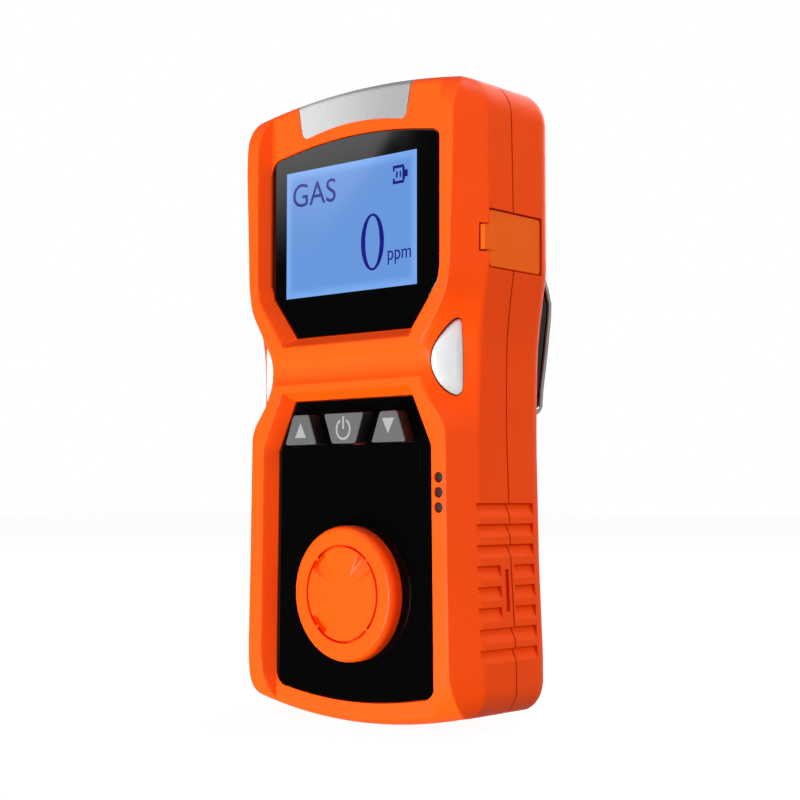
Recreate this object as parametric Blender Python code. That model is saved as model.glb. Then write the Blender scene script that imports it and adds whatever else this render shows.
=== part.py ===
# Portable gas detector: two-part case, display, keys, sensor, sounder, battery and belt clip.
# Lengths below are in millimetres, and the last step turns the whole model into metres. x runs to the
# right of someone who looks at the display, y from the front rim (0) to the back, and z up from the
# case's bottom.

import bmesh
import bpy
from math import cos, pi, radians, sin, sqrt
from mathutils import Matrix, Vector

MM = 0.001

# overall; heights are counted from a level a little above the lowest point of the case's arched foot
CASE_TOP = 120.5
CASE_FOOT = -0.9
CASE_HEIGHT = CASE_TOP - CASE_FOOT
CASE_DEPTH = 27.0
TOTAL_DEPTH = 45.6
CAP_PROUD = 0.4
RIM_Y = CAP_PROUD - TOTAL_DEPTH / 2
GAP = 0.3

# case outline, seen from the front: levels up the side, and half widths at the rim and at the side
LEVELS = (12, 30, 50, 54.5, 60.5, 63.2, 66.2, 69.2, 73, 78.5, 83.5, 90, 106)
RIM_HALF = (25.8, 25.4, 25.1, 25.0, 20.4, 18.8, 18.6, 18.9, 22.0, 25.4, 26.2, 26.4, 27.0)
SIDE_HALF = (29.0, 28.2, 27.8, 27.8, 27.9, 28.0, 28.1, 28.2, 28.6, 29.4, 30.3, 30.3, 30.3)
TOP_RADIUS = 160.0
BOTTOM_RADIUS = 115.0
TOP_CORNER = (24.0, 111.7)
BOTTOM_CORNER = (24.5, 7.0)
CHAMFER_DEPTH = 6.4
BOW_DEPTH = 5.0
BOW_HEIGHT = 9.0
BACK_ROUND = 5.0

# case walls and the plane in which the two shells meet
WALL = 2.2
CAVITY_FRONT = 5.9
CAVITY_FULL = 9.0
CAVITY_BACK = CASE_DEPTH - 2.0
PARTING_BOTTOM = 15.7
PARTING_TOP = 12.8
PARTING_SLOPE = (PARTING_TOP - PARTING_BOTTOM) / CASE_HEIGHT

# bosses for the screws, and the screws' holes
BOSS_RADIUS = 2.8
POST_RADIUS = 2.3
POST_END = 11.7
PILOT_RADIUS = 1.3
CLEAR_RADIUS = 1.4
HEAD_RADIUS = 2.4
HEAD_SEAT = 22.5

# the groove round the waist
GROOVE_RADIUS = 4.4
GROOVE_DEPTH = 1.1
GROOVE_Z = 66.3

# the two recesses in the front and the panels in them
PANEL_DEPTH = 2.5
PANEL_THICK = 1.1
POCKET_DEPTH = 3.9
UPPER_CREST = ((16.4, 70.8), (23.4, 80.6), (23.8, 83.5), (23.9, 124))
UPPER_FLOOR = ((14.9, 72.6), (21.4, 80.9), (22.3, 84.0), (22.3, 124))
LOWER_CREST = ((16.6, 62.0), (21.8, 51.0), (22.3, 8.0), (22.4, -4))
LOWER_FLOOR = ((15.2, 60.4), (19.9, 50.6), (20.4, 9.0), (20.4, -4))
PANEL_ROUND = 3.0
UPPER_ROUND_Z = 106.4
UPPER_TOP = 111.2
LOWER_ROUND_Z = 7.7
LOWER_FOOT = 3.1

# keys: outlines of the two outer keys and the inverted middle one, about each key's centre
KEY_Z = 54.55
KEY_SPREAD = 11.4
KEY_TRAVEL = 0.6
KEY_OUTER = ((-4.3, -2.9), (4.3, -2.9), (2.1, 2.9), (-2.1, 2.9))
KEY_MIDDLE = ((-3.1, -2.9), (3.1, -2.9), (5.2, 2.9), (-5.2, 2.9))
KEY_BACK = 6.3
KEY_FLANGE = 0.9
MAT_FRONT = KEY_BACK + KEY_FLANGE + KEY_TRAVEL + 0.4

# sensor
SENSOR_Z = 23.4
CAP_RADIUS = 12.8
CAP_FACE_RADIUS = 12.0
CAP_SLOT_RADIUS = 9.0
CAP_SLOT_WIDTH = 0.4
SPIGOT_RADIUS = 9.9
SPIGOT_BORE = 9.3

# display
LCD_HALF = 17.2
LCD_LOW = 80.1
LCD_HIGH = 106.9

# sounder
BUZZER_X = 23.5
BUZZER_HOLES = (39.65, 42.35, 45.05)

# main board
BOARD_FRONT = 12.0
BOARD_THICK = 1.4
BOARD_SCREW_X = 16.5
BOARD_SCREW_Z = 66.5

# recess for the label on the back, as half width and heights
LABEL_HALF = 15.2
LABEL_Z = (14.0, 46.0)

# flap over the charging socket, on the right side
SIDE_X = 30.3
FLAP_Y = (6.7, 22.0)
FLAP_Z = (83.2, 93.6)
FLAP_SUNK = 0.25
FLAP_THICK = 1.0
TAB_FRONT = 5.0
TAB_BACK = 10.4
TAB_FLAT = 1.6
TAB_HEIGHT = 4.6

# belt clip
CLIP_HALF = 16.0
PIVOT_Y = 36.5
PIVOT_Z = 77.0
PIN_RADIUS = 1.5
PLATE = 1.2
PAD_HALF = 18.0
PAD_Z = (55.0, 92.0)
PAD_HIGH = 1.5
CLIP_SCREWS = (60.5, 88.0)

# finger grooves on both sides
GRIP_ROWS = 8
GRIP_TOP = 40.4
GRIP_PITCH = 3.75
GRIP_HEIGHT = 2.6
GRIP_DEEP = 1.0
GRIP_SPLIT_ROWS = (3, 4, 5)
GRIP_FRONT = (5.6, 11.9)
GRIP_REAR = (15.9, 22.0)
GRIP_SLOT = (13.2, 14.2)
GRIP_SLOT_Z = (20.7, 28.4)

# case screws: x and z of each
SCREW_PLACES = ((-22, 9.4), (22, 9.4), (-21, 111.6), (21, 111.6))


# ---------------------------------------------------------------- helpers

def material(name, colour, roughness, metallic=0.0, alpha=1.0):
    mat = bpy.data.materials.new(name)
    mat.use_nodes = True
    shader = mat.node_tree.nodes["Principled BSDF"]
    shader.inputs["Base Color"].default_value = (*colour, 1.0)
    shader.inputs["Roughness"].default_value = roughness
    shader.inputs["Metallic"].default_value = metallic
    shader.inputs["Alpha"].default_value = alpha
    return mat


def new_object(name, bm, mat=None, parent=None, smooth=False):
    """Turn a bmesh into an object under the case's frame."""
    bmesh.ops.recalc_face_normals(bm, faces=bm.faces)
    mesh = bpy.data.meshes.new(name)
    bm.to_mesh(mesh)
    bm.free()
    if smooth:
        for face in mesh.polygons:
            face.use_smooth = True
    obj = bpy.data.objects.new(name, mesh)
    bpy.context.collection.objects.link(obj)
    obj.parent = parent
    if mat:
        mesh.materials.append(mat)
    return obj


def ring(bm, outline, y):
    """One closed loop of edges at depth y; outline is a list of (x, z)."""
    verts = [bm.verts.new((x, y, z)) for x, z in outline]
    return [bm.edges.new((a, b)) for a, b in zip(verts, verts[1:] + verts[:1])]


def loft(stack):
    """A closed solid through outlines at rising depths; stack is a list of (y, outline)."""
    bm = bmesh.new()
    rings = [ring(bm, outline, y) for y, outline in stack]
    for near, far in zip(rings, rings[1:]):
        bmesh.ops.bridge_loops(bm, edges=near + far)
    bmesh.ops.holes_fill(bm, edges=rings[0] + rings[-1], sides=0)
    bmesh.ops.triangulate(bm, faces=[face for face in bm.faces if len(face.verts) == 4])
    return bm


def prism(outline, y0, y1):
    return loft([(y0, outline), (y1, outline)])


def box(low, high):
    bm = bmesh.new()
    bmesh.ops.create_cube(bm, size=1.0)
    size = Vector(high) - Vector(low)
    middle = (Vector(high) + Vector(low)) / 2
    bmesh.ops.scale(bm, vec=size, verts=bm.verts)
    bmesh.ops.translate(bm, vec=middle, verts=bm.verts)
    return bm


def cylinder(radius, y0, y1, x=0.0, z=0.0, segments=24):
    """A cylinder along y."""
    bm = bmesh.new()
    bmesh.ops.create_cone(bm, cap_ends=True, segments=segments, radius1=radius, radius2=radius,
                          depth=y1 - y0)
    bmesh.ops.rotate(bm, matrix=Matrix.Rotation(-pi / 2, 3, "X"), verts=bm.verts)
    bmesh.ops.translate(bm, vec=(x, (y0 + y1) / 2, z), verts=bm.verts)
    return bm


def cross_cylinder(radius, x0, x1, y=0.0, z=0.0, segments=20):
    """A cylinder along x."""
    bm = bmesh.new()
    bmesh.ops.create_cone(bm, cap_ends=True, segments=segments, radius1=radius, radius2=radius,
                          depth=x1 - x0)
    bmesh.ops.rotate(bm, matrix=Matrix.Rotation(pi / 2, 3, "Y"), verts=bm.verts)
    bmesh.ops.translate(bm, vec=((x0 + x1) / 2, y, z), verts=bm.verts)
    return bm


def lathe(profile, x=0.0, z=0.0, segments=24):
    """A solid of revolution about a y axis through (x, z). The profile lists (radius, y), and either
    starts and ends on the axis or closes on itself."""
    bm = bmesh.new()
    verts = [bm.verts.new((r, y, 0)) for r, y in profile]
    following = verts[1:] if profile[0][0] == 0 else verts[1:] + verts[:1]
    edges = [bm.edges.new(pair) for pair in zip(verts, following)]
    bmesh.ops.spin(bm, geom=verts + edges, cent=(0, 0, 0), axis=(0, 1, 0), angle=2 * pi,
                   steps=segments, use_merge=True)
    bmesh.ops.remove_doubles(bm, verts=bm.verts, dist=0.001)
    bmesh.ops.translate(bm, vec=(x, 0, z), verts=bm.verts)
    return bm


def extruded(points, move):
    """A prism from one polygon in space, swept along move."""
    bm = bmesh.new()
    face = bm.faces.new([bm.verts.new(point) for point in points])
    made = bmesh.ops.extrude_face_region(bm, geom=[face])
    far = [item for item in made["geom"] if isinstance(item, bmesh.types.BMVert)]
    bmesh.ops.translate(bm, vec=move, verts=far)
    return bm


def side_prism(outline, x0, x1):
    """A prism along x; outline is a list of (y, z)."""
    return extruded([(x0, y, z) for y, z in outline], (x1 - x0, 0, 0))


def combine(obj, bm, operation="DIFFERENCE"):
    """Apply one exact Boolean of obj with a bmesh."""
    tool = new_object("tool", bm, parent=obj.parent)
    modifier = obj.modifiers.new("combine", "BOOLEAN")
    modifier.operation = operation
    modifier.object = tool
    bpy.context.view_layer.update()
    shape = obj.evaluated_get(bpy.context.evaluated_depsgraph_get())
    mesh = bpy.data.meshes.new_from_object(shape)
    obj.modifiers.clear()
    spent = [obj.data, tool.data]
    obj.data = mesh
    bpy.data.objects.remove(tool)
    for item in spent:
        bpy.data.meshes.remove(item)


def mirrored(half):
    """Close a half outline that runs from the bottom middle to the top middle."""
    return half + [(-x, z) for x, z in reversed(half[1:-1])]


def both_sides(half):
    """Close a half outline whose ends lie off the middle."""
    return half + [(-x, z) for x, z in reversed(half)]


# ---------------------------------------------------------------- case outline

def arc_drop(x, radius):
    return radius - sqrt(radius * radius - x * x)


def foot_edge(x):
    return CASE_FOOT + arc_drop(x, BOTTOM_RADIUS)


def case_outline(widths, inset=0.0):
    """Outline of the case at one depth, inset inwards; widths are half widths at the levels."""
    low_x, low_z = BOTTOM_CORNER
    low_rx = max(widths[0] - low_x - inset, 0.6)
    low_rz = max(low_z - foot_edge(low_x) - inset, 0.6)
    high_x, high_z = TOP_CORNER
    high_rx = max(widths[-1] - high_x - inset, 0.6)
    high_rz = max(CASE_TOP - arc_drop(high_x, TOP_RADIUS) - high_z - inset, 0.6)
    low_x = widths[0] - inset - low_rx
    low_z = foot_edge(low_x) + inset + low_rz
    high_x = widths[-1] - inset - high_rx
    high_z = CASE_TOP - arc_drop(high_x, TOP_RADIUS) - inset - high_rz
    half = [(low_x * t / 4, foot_edge(low_x * t / 4) + inset) for t in range(4)]
    for step in range(5):
        angle = step * pi / 8
        half.append((low_x + low_rx * sin(angle), low_z - low_rz * cos(angle)))
    half += [(width - inset, level) for width, level in zip(widths, LEVELS)]
    for step in range(5):
        angle = step * pi / 8
        half.append((high_x + high_rx * cos(angle), high_z + high_rz * sin(angle)))
    for t in (3, 2, 1, 0):
        x = high_x * t / 4
        half.append((x, CASE_TOP - arc_drop(x, TOP_RADIUS) - inset))
    return mirrored(half)


def case_solid(grow=0.0):
    """The whole case as one lofted block, before the front is bowed; grow moves its skin outwards."""
    stack = [(-grow, case_outline(RIM_HALF, -grow)), (CHAMFER_DEPTH, case_outline(SIDE_HALF, -grow))]
    straight = CASE_DEPTH - BACK_ROUND
    for angle in (0, 30, 60, 90):
        inset = BACK_ROUND * (1 - cos(radians(angle)))
        depth = straight + BACK_ROUND * sin(radians(angle))
        stack.append((depth, case_outline(SIDE_HALF, inset - grow)))
    return loft(stack)


def cavity_solid():
    """The hollow inside both shells."""
    front = [rim + 1.0 for rim in RIM_HALF]
    return loft([
        (CAVITY_FRONT, case_outline(front, WALL - 1.0)),
        (CAVITY_FULL, case_outline(SIDE_HALF, WALL)),
        (CAVITY_BACK - 3.0, case_outline(SIDE_HALF, WALL)),
        (CAVITY_BACK, case_outline(SIDE_HALF, WALL + 2.4)),
    ])


def bow_cutter(at_top, grow=0.0):
    """Rounds the front edge back at the top or bottom: an elliptical profile swept along the arc."""
    radius = TOP_RADIUS if at_top else BOTTOM_RADIUS
    edge = radius + grow - 0.1
    profile = [(-4.0, edge + 6), (-4.0, edge - BOW_HEIGHT - 4), (-0.001 - grow, edge - BOW_HEIGHT)]
    for step in range(1, 7):
        angle = step * pi / 12
        profile.append((BOW_DEPTH * (1 - cos(angle)) - grow, edge - BOW_HEIGHT * (1 - sin(angle))))
    profile.append((BOW_DEPTH - grow, edge + 6))
    bm = bmesh.new()
    verts = [bm.verts.new((0, y, r)) for y, r in profile]
    edges = [bm.edges.new((a, b)) for a, b in zip(verts, verts[1:] + verts[:1])]
    sweep = radians(14 if at_top else 19)
    bmesh.ops.rotate(bm, matrix=Matrix.Rotation(-sweep, 3, "Y"), verts=bm.verts)
    bmesh.ops.spin(bm, geom=verts + edges, cent=(0, 0, 0), axis=(0, 1, 0), angle=2 * sweep, steps=16)
    bmesh.ops.holes_fill(bm, edges=[e for e in bm.edges if e.is_boundary], sides=0)
    if at_top:
        bmesh.ops.translate(bm, vec=(0, 0, CASE_TOP - radius), verts=bm.verts)
    else:
        bmesh.ops.rotate(bm, matrix=Matrix.Rotation(pi, 3, "Y"), verts=bm.verts)
        bmesh.ops.translate(bm, vec=(0, 0, CASE_FOOT + radius), verts=bm.verts)
    return bm


def recess_cutter(crest, floor):
    """A recess whose walls slope from the crest outline in to the floor outline."""
    front = -1.0
    stack = []
    for y in (front, PANEL_DEPTH):
        share = y / PANEL_DEPTH
        half = [(cx + (fx - cx) * share, cz + (fz - cz) * share)
                for (cx, cz), (fx, fz) in zip(crest, floor)]
        stack.append((y, both_sides(half)))
    return loft(stack)


def upper_panel(inset=0.0):
    """Outline of the display window, with an arched top."""
    corner, shoulder, side = UPPER_FLOOR[:3]
    half = [(corner[0] - inset * 0.6, corner[1] + inset),
            (shoulder[0] - inset, shoulder[1] + inset * 0.4),
            (side[0] - inset, side[1])]
    round_x = side[0] - PANEL_ROUND
    radius = PANEL_ROUND - inset
    for step in range(5):
        angle = step * pi / 8
        half.append((round_x + radius * cos(angle), UPPER_ROUND_Z + radius * sin(angle)))
    for x in (14, 9, 4.5):
        half.append((x, UPPER_TOP - inset - 1.8 * (x / round_x) ** 2))
    return both_sides(half)


def lower_panel(inset=0.0):
    """Outline of the key and sensor panel, with a bowed foot."""
    corner, shoulder, side = LOWER_FLOOR[:3]
    half = [(corner[0] - inset * 0.6, corner[1] - inset),
            (shoulder[0] - inset, shoulder[1] - inset * 0.2),
            (side[0] - inset, side[1])]
    round_x = side[0] - PANEL_ROUND
    radius = PANEL_ROUND - inset
    for step in range(1, 5):
        angle = step * pi / 8
        half.append((round_x + radius * cos(angle), LOWER_ROUND_Z - radius * sin(angle)))
    for x in (12, 6):
        half.append((x, LOWER_FOOT + inset + 1.6 * (x / round_x) ** 2))
    return both_sides(half)


def grown(outline, amount):
    """A small outline pushed out by about one amount, for clearances round keys."""
    return [(x + (amount if x > 0 else -amount), z + (amount if z > 0 else -amount)) for x, z in outline]


def moved(outline, x, z):
    return [(px + x, pz + z) for px, pz in outline]


def parting_cutter(front, offset):
    """Everything in front of (or behind) the tilted plane in which the shells meet."""
    low, high = -20.0, CASE_TOP + 20.0
    far = -30.0 if front else 70.0
    y_low = PARTING_BOTTOM + PARTING_SLOPE * low + offset
    y_high = PARTING_BOTTOM + PARTING_SLOPE * high + offset
    return side_prism([(far, low), (y_low, low), (y_high, high), (far, high)], -60, 60)


# ---------------------------------------------------------------- cutters shared by the shells

def flap_pocket():
    return box((SIDE_X - FLAP_SUNK - FLAP_THICK - GAP, FLAP_Y[0] - 0.25, FLAP_Z[0] - 0.25),
               (SIDE_X + 2, FLAP_Y[1] + 0.25, FLAP_Z[1] + 0.25))


def tab_pocket():
    middle = (FLAP_Z[0] + FLAP_Z[1]) / 2
    half = TAB_HEIGHT / 2 + GAP
    return box((28.2, TAB_FRONT - GAP, middle - half), (SIDE_X + 2, FLAP_Y[0], middle + half))


def socket_hole():
    return box((26.5, 13.9, 83.9), (SIDE_X, 18.5, 93.3))


def side_half(z):
    """Half width of the case's side at height z."""
    for index in range(1, len(LEVELS)):
        if z <= LEVELS[index]:
            share = (z - LEVELS[index - 1]) / (LEVELS[index] - LEVELS[index - 1])
            return SIDE_HALF[index - 1] + share * (SIDE_HALF[index] - SIDE_HALF[index - 1])
    return SIDE_HALF[-1]


def grip_cutters(side):
    """Finger grooves down one side: ledges cut deep at the top edge that run out to nothing below."""
    cutters = []
    for row in range(GRIP_ROWS):
        top = GRIP_TOP - GRIP_PITCH * row
        low = top - GRIP_HEIGHT
        wedge = [(side_half(top) - GRIP_DEEP, top), (side_half(top) + 1.2, top),
                 (side_half(low) + 1.2, low), (side_half(low) + 0.15, low)]
        whole = ((GRIP_FRONT[0], GRIP_REAR[1]),)
        for y0, y1 in (GRIP_FRONT, GRIP_REAR) if row in GRIP_SPLIT_ROWS else whole:
            cutters.append(prism([(side * x, z) for x, z in wedge], y0, y1))
    low, high = sorted((side * 27.2, side * 29.5))
    cutters.append(box((low, GRIP_SLOT[0], GRIP_SLOT_Z[0]), (high, GRIP_SLOT[1], GRIP_SLOT_Z[1])))
    return cutters


def window_outline(grow=0.0):
    """Side window on the sloped waist, bowed at its front edge, as (distance across, z)."""
    points = [(0.0, 66.4), (0.45, 68.9), (2.2, 71.5), (4.1, 73.5), (5.3, 73.9), (5.9, 73.1),
              (5.9, 60.6), (4.8, 59.7), (3.1, 60.4), (1.45, 62.0), (0.3, 64.4)]
    middle = Vector((3.9, 66.4))
    return [tuple(Vector(p) + (Vector(p) - middle).normalized() * grow) for p in points]


def window_prism(side, grow, inner, outer):
    """Prism through the waist slope, between two offsets along the slope's outward normal."""
    slope = Vector((SIDE_HALF[6] - RIM_HALF[6], CHAMFER_DEPTH, 0)).normalized()
    normal = Vector((slope.y, -slope.x, 0))
    apex = Vector((RIM_HALF[6], 0, 0)) + slope * 2.4
    bm = bmesh.new()
    loops = []
    for offset in (inner, outer):
        verts = []
        for across, z in window_outline(grow):
            place = apex + slope * across + normal * offset
            verts.append(bm.verts.new((side * place.x, place.y, z)))
        loops.append([bm.edges.new((a, b)) for a, b in zip(verts, verts[1:] + verts[:1])])
    bmesh.ops.bridge_loops(bm, edges=loops[0] + loops[1])
    bmesh.ops.holes_fill(bm, edges=loops[0] + loops[1], sides=0)
    return bm


def top_window_outline(grow=0.0):
    """Trapezium with rounded lower corners and an arched foot, seen from the front."""
    half = [(4.5, 113.7 - grow), (9.0, 113.1 - grow), (12.0, 112.4 - grow),
            (13.4 + grow, 113.1), (14.0 + grow, 114.7), (15.2 + grow, 123)]
    return both_sides(half)


# ---------------------------------------------------------------- case

def front_shell(frame, mat):
    shell = new_object("front_shell", case_solid(), mat, frame)
    for at_top in (True, False):
        combine(shell, bow_cutter(at_top))
    combine(shell, recess_cutter(UPPER_CREST, UPPER_FLOOR))
    combine(shell, recess_cutter(LOWER_CREST, LOWER_FLOOR))
    combine(shell, cross_cylinder(GROOVE_RADIUS, -32, 32, GROOVE_DEPTH - GROOVE_RADIUS, GROOVE_Z, 32))
    combine(shell, cavity_solid())
    root = CAVITY_FRONT - 1.2
    for x, z in SCREW_PLACES:
        combine(shell, cylinder(BOSS_RADIUS, root, 20, x, z, 16), "UNION")
    for side in (-1, 1):
        x = side * BOARD_SCREW_X
        combine(shell, cylinder(POST_RADIUS, root, POST_END, x, BOARD_SCREW_Z, 16), "UNION")
        combine(shell, cylinder(0.9, 7.0, BOARD_FRONT, x, BOARD_SCREW_Z, 12))
    for x, z in SCREW_PLACES:
        combine(shell, cylinder(PILOT_RADIUS, 7.2, 21, x, z, 12))
    combine(shell, parting_cutter(False, -GAP / 2))
    combine(shell, prism(upper_panel(), 1.0, POCKET_DEPTH))
    combine(shell, prism(lower_panel(), 1.0, POCKET_DEPTH))
    margin = 0.8
    combine(shell, box((-LCD_HALF - margin, 3.0, LCD_LOW - margin),
                       (LCD_HALF + margin, 7.0, LCD_HIGH + margin)))
    for place, outline in key_places():
        combine(shell, prism(moved(grown(outline, GAP), place, KEY_Z), 3.0, 7.0))
    combine(shell, cylinder(SPIGOT_RADIUS + 0.6, 3.0, 7.0, 0, SENSOR_Z, 32))
    for z in BUZZER_HOLES:
        combine(shell, cylinder(1.0, -1.0, 7.0, BUZZER_X, z, 12))
    combine(shell, prism(top_window_outline(0.2), -1.0, 10.0))
    for side in (-1, 1):
        combine(shell, window_prism(side, 0.2, -8.0, 4.0))
        for cutter in grip_cutters(side):
            combine(shell, cutter)
    combine(shell, flap_pocket())
    combine(shell, tab_pocket())
    combine(shell, socket_hole())


def rear_shell(frame, mat):
    shell = new_object("rear_shell", case_solid(), mat, frame)
    pad = box((-PAD_HALF, CASE_DEPTH - 1.0, PAD_Z[0]), (PAD_HALF, CASE_DEPTH + PAD_HIGH, PAD_Z[1]))
    combine(shell, pad, "UNION")
    combine(shell, cavity_solid())
    for x, z in SCREW_PLACES:
        combine(shell, cylinder(BOSS_RADIUS, 8, CAVITY_BACK + 1, x, z, 16), "UNION")
    for x, z in SCREW_PLACES:
        combine(shell, cylinder(CLEAR_RADIUS, 6, CASE_DEPTH + 1, x, z, 12))
        combine(shell, cylinder(HEAD_RADIUS, HEAD_SEAT, CASE_DEPTH + 1, x, z, 16))
    combine(shell, parting_cutter(True, GAP / 2))
    combine(shell, box((-LABEL_HALF, CASE_DEPTH - 0.4, LABEL_Z[0]),
                       (LABEL_HALF, CASE_DEPTH + 1, LABEL_Z[1])))
    for z in CLIP_SCREWS:
        combine(shell, cylinder(1.2, CAVITY_BACK - 1, CASE_DEPTH + 2, 0, z, 12))
    for side in (-1, 1):
        for cutter in grip_cutters(side):
            combine(shell, cutter)
    combine(shell, flap_pocket())
    combine(shell, socket_hole())


def case_seal(frame, mat):
    """Gasket just inside the joint between the shells."""
    middle = 3.4
    bm = loft([(y, case_outline(SIDE_HALF, WALL + GAP)) for y in (-0.6, 0.6)])
    seal = new_object("case_seal", bm, mat, frame)
    combine(seal, loft([(y, case_outline(SIDE_HALF, middle)) for y in (-1.0, 1.0)]))
    for vert in seal.data.vertices:
        vert.co.y += PARTING_BOTTOM + PARTING_SLOPE * vert.co.z


# ---------------------------------------------------------------- front pieces

def display_lens(frame, mat):
    front = PANEL_DEPTH + 0.1
    new_object("display_lens", prism(upper_panel(0.2), front, front + PANEL_THICK), mat, frame)


def key_panel(frame, mat):
    front = PANEL_DEPTH + 0.1
    panel = new_object("key_panel", prism(lower_panel(0.2), front, front + PANEL_THICK), mat, frame)
    for place, outline in key_places():
        combine(panel, prism(moved(grown(outline, 0.2), place, KEY_Z), 1.0, 5.0))
    combine(panel, cylinder(SPIGOT_RADIUS + 0.5, 1.0, 5.0, 0, SENSOR_Z, 32))


def key_places():
    return ((-KEY_SPREAD, KEY_OUTER), (0.0, KEY_MIDDLE), (KEY_SPREAD, KEY_OUTER))


def keys(frame, mat):
    names = ("key_up", "key_power", "key_down")
    for name, (place, outline) in zip(names, key_places()):
        key = new_object(name, prism(outline, 0.0, KEY_BACK + 0.3), mat, frame)
        flange = prism(grown(outline, KEY_FLANGE), KEY_BACK, KEY_BACK + KEY_FLANGE)
        combine(key, flange, "UNION")
        key.location = (place, 0, KEY_Z)


def keypad_mat(frame, mat):
    bm = box((-18, MAT_FRONT, KEY_Z - 4.35), (18, MAT_FRONT + 1.0, KEY_Z + 4.35))
    new_object("keypad_mat", bm, mat, frame)


def switches(frame, mat):
    front, half = MAT_FRONT + 1.3, 2.6
    for name, x in zip(("switch_up", "switch_power", "switch_down"), (-KEY_SPREAD, 0, KEY_SPREAD)):
        bm = box((x - half, front, KEY_Z - half), (x + half, BOARD_FRONT - GAP, KEY_Z + half))
        new_object(name, bm, mat, frame)


def sensor_cap(frame, mat):
    """Round cap with a raised face, four arc slots round the face and a hollow spigot behind."""
    face, back, end, floor = -CAP_PROUD, PANEL_DEPTH - 0.15, 5.6, 1.6
    profile = [(0, face), (CAP_FACE_RADIUS, face), (CAP_FACE_RADIUS + 0.5, face + 0.35),
               (CAP_RADIUS, face + 1.2), (CAP_RADIUS, back), (SPIGOT_RADIUS, back),
               (SPIGOT_RADIUS, end), (SPIGOT_BORE, end), (SPIGOT_BORE, floor), (0, floor)]
    cap = new_object("sensor_cap", lathe(profile, segments=40), mat, frame)
    for quarter in range(4):
        combine(cap, arc_slot(quarter * pi / 2))
    cap.location = (0, 0, SENSOR_Z)


def arc_slot(turn):
    """One quarter's arc-shaped slot through the cap's face."""
    inner, outer = CAP_SLOT_RADIUS - CAP_SLOT_WIDTH / 2, CAP_SLOT_RADIUS + CAP_SLOT_WIDTH / 2
    reach = radians(34)
    steps = 8
    angles = [turn - reach + 2 * reach * step / steps for step in range(steps + 1)]
    outline = [(outer * cos(a), outer * sin(a)) for a in angles]
    outline += [(inner * cos(a), inner * sin(a)) for a in reversed(angles)]
    return prism(outline, -2.0, 2.4)


def sensor_pieces(frame, mats):
    sheet = cylinder(SPIGOT_BORE - 0.4, 1.9, 2.4, 0, SENSOR_Z, 32)
    new_object("sensor_filter", sheet, mats["filter"], frame, smooth=True)
    section = [(8.95 + 0.45 * cos(a * pi / 3), 6.35 + 0.4 * sin(a * pi / 3)) for a in range(6)]
    new_object("sensor_seal", lathe(section, 0, SENSOR_Z), mats["rubber"], frame, smooth=True)
    can = [(0, 7.1), (9.4, 7.1), (10.0, 7.7), (10.0, 22.9), (0, 22.9)]
    new_object("gas_sensor", lathe(can, 0, SENSOR_Z), mats["cell"], frame, smooth=True)
    board = box((-15, 23.2, SENSOR_Z - 10.8), (15, 24.6, SENSOR_Z + 12.2))
    new_object("sensor_board", board, mats["board"], frame)


def top_light_window(frame, mat):
    """Pale insert that wraps over the top edge, about two millimetres thick."""
    piece = new_object("top_light_window", case_solid(-0.1), mat, frame)
    combine(piece, bow_cutter(True, -0.1))
    combine(piece, recess_cutter(UPPER_CREST, UPPER_FLOOR))
    combine(piece, prism(top_window_outline(), 1.0, 9.8), "INTERSECT")
    combine(piece, box((-20, 5.0, 105), (20, 12, 116.9)))


def side_light_window(frame, mat, side):
    name = "side_light_window_right" if side > 0 else "side_light_window_left"
    piece = new_object(name, case_solid(0.2), mat, frame)
    combine(piece, window_prism(side, 0.0, -2.6, 4.0), "INTERSECT")


def port_flap(frame, mat):
    """Rubber door; its origin is on the outer rear edge, about which it swings."""
    hinge = Vector((SIDE_X, FLAP_Y[1], (FLAP_Z[0] + FLAP_Z[1]) / 2))
    half = (FLAP_Z[1] - FLAP_Z[0]) / 2
    width = FLAP_Y[1] - FLAP_Y[0]
    face, inner = -FLAP_SUNK, -FLAP_SUNK - FLAP_THICK
    bm = box((inner, -width, -half), (face, 0, half))
    flap = new_object("port_flap", bm, mat, frame)
    front, back, low = TAB_FRONT - hinge.y, TAB_BACK - hinge.y, -TAB_HEIGHT / 2
    tab = [(inner + 0.1, front, low), (0.0, front, low), (0.0, front + TAB_FLAT, low),
           (face - 0.05, back, low), (inner + 0.1, back, low)]
    combine(flap, extruded(tab, (0, 0, TAB_HEIGHT)), "UNION")
    plug = box((-2.3, -7.0, -3.6), (inner + 0.1, -4.6, 3.6))
    combine(flap, plug, "UNION")
    flap.location = hinge


# ---------------------------------------------------------------- inside the case

def display_module(frame, mats):
    wide, low, high = LCD_HALF + 3.2, LCD_LOW - 3.0, LCD_HIGH + 1.6
    new_object("lcd_module", box((-wide, 6.3, low), (wide, 8.5, high)), mats["lcd"], frame)
    new_object("lcd_backlight", box((-wide, 8.8, low), (wide, 11.0, high)), mats["white"], frame)
    new_object("lcd_flex", box((-9, 6.6, 74.6), (9, 11.6, 74.9)), mats["flex"], frame)


def main_board(frame, mat):
    half = [(0, 37.4), (19.0, 37.4), (19.0, 60.0), (18.6, 62.0), (18.6, 71.0), (19.4, 76.0),
            (24.0, 80.0), (24.0, 106.0), (17.4, 109.0), (17.4, 111.0), (0, 111.0)]
    solid = prism(mirrored(half), BOARD_FRONT, BOARD_FRONT + BOARD_THICK)
    board = new_object("main_board", solid, mat, frame)
    for side in (-1, 1):
        combine(board, cylinder(1.1, 11, 15, side * BOARD_SCREW_X, BOARD_SCREW_Z, 12))


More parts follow.
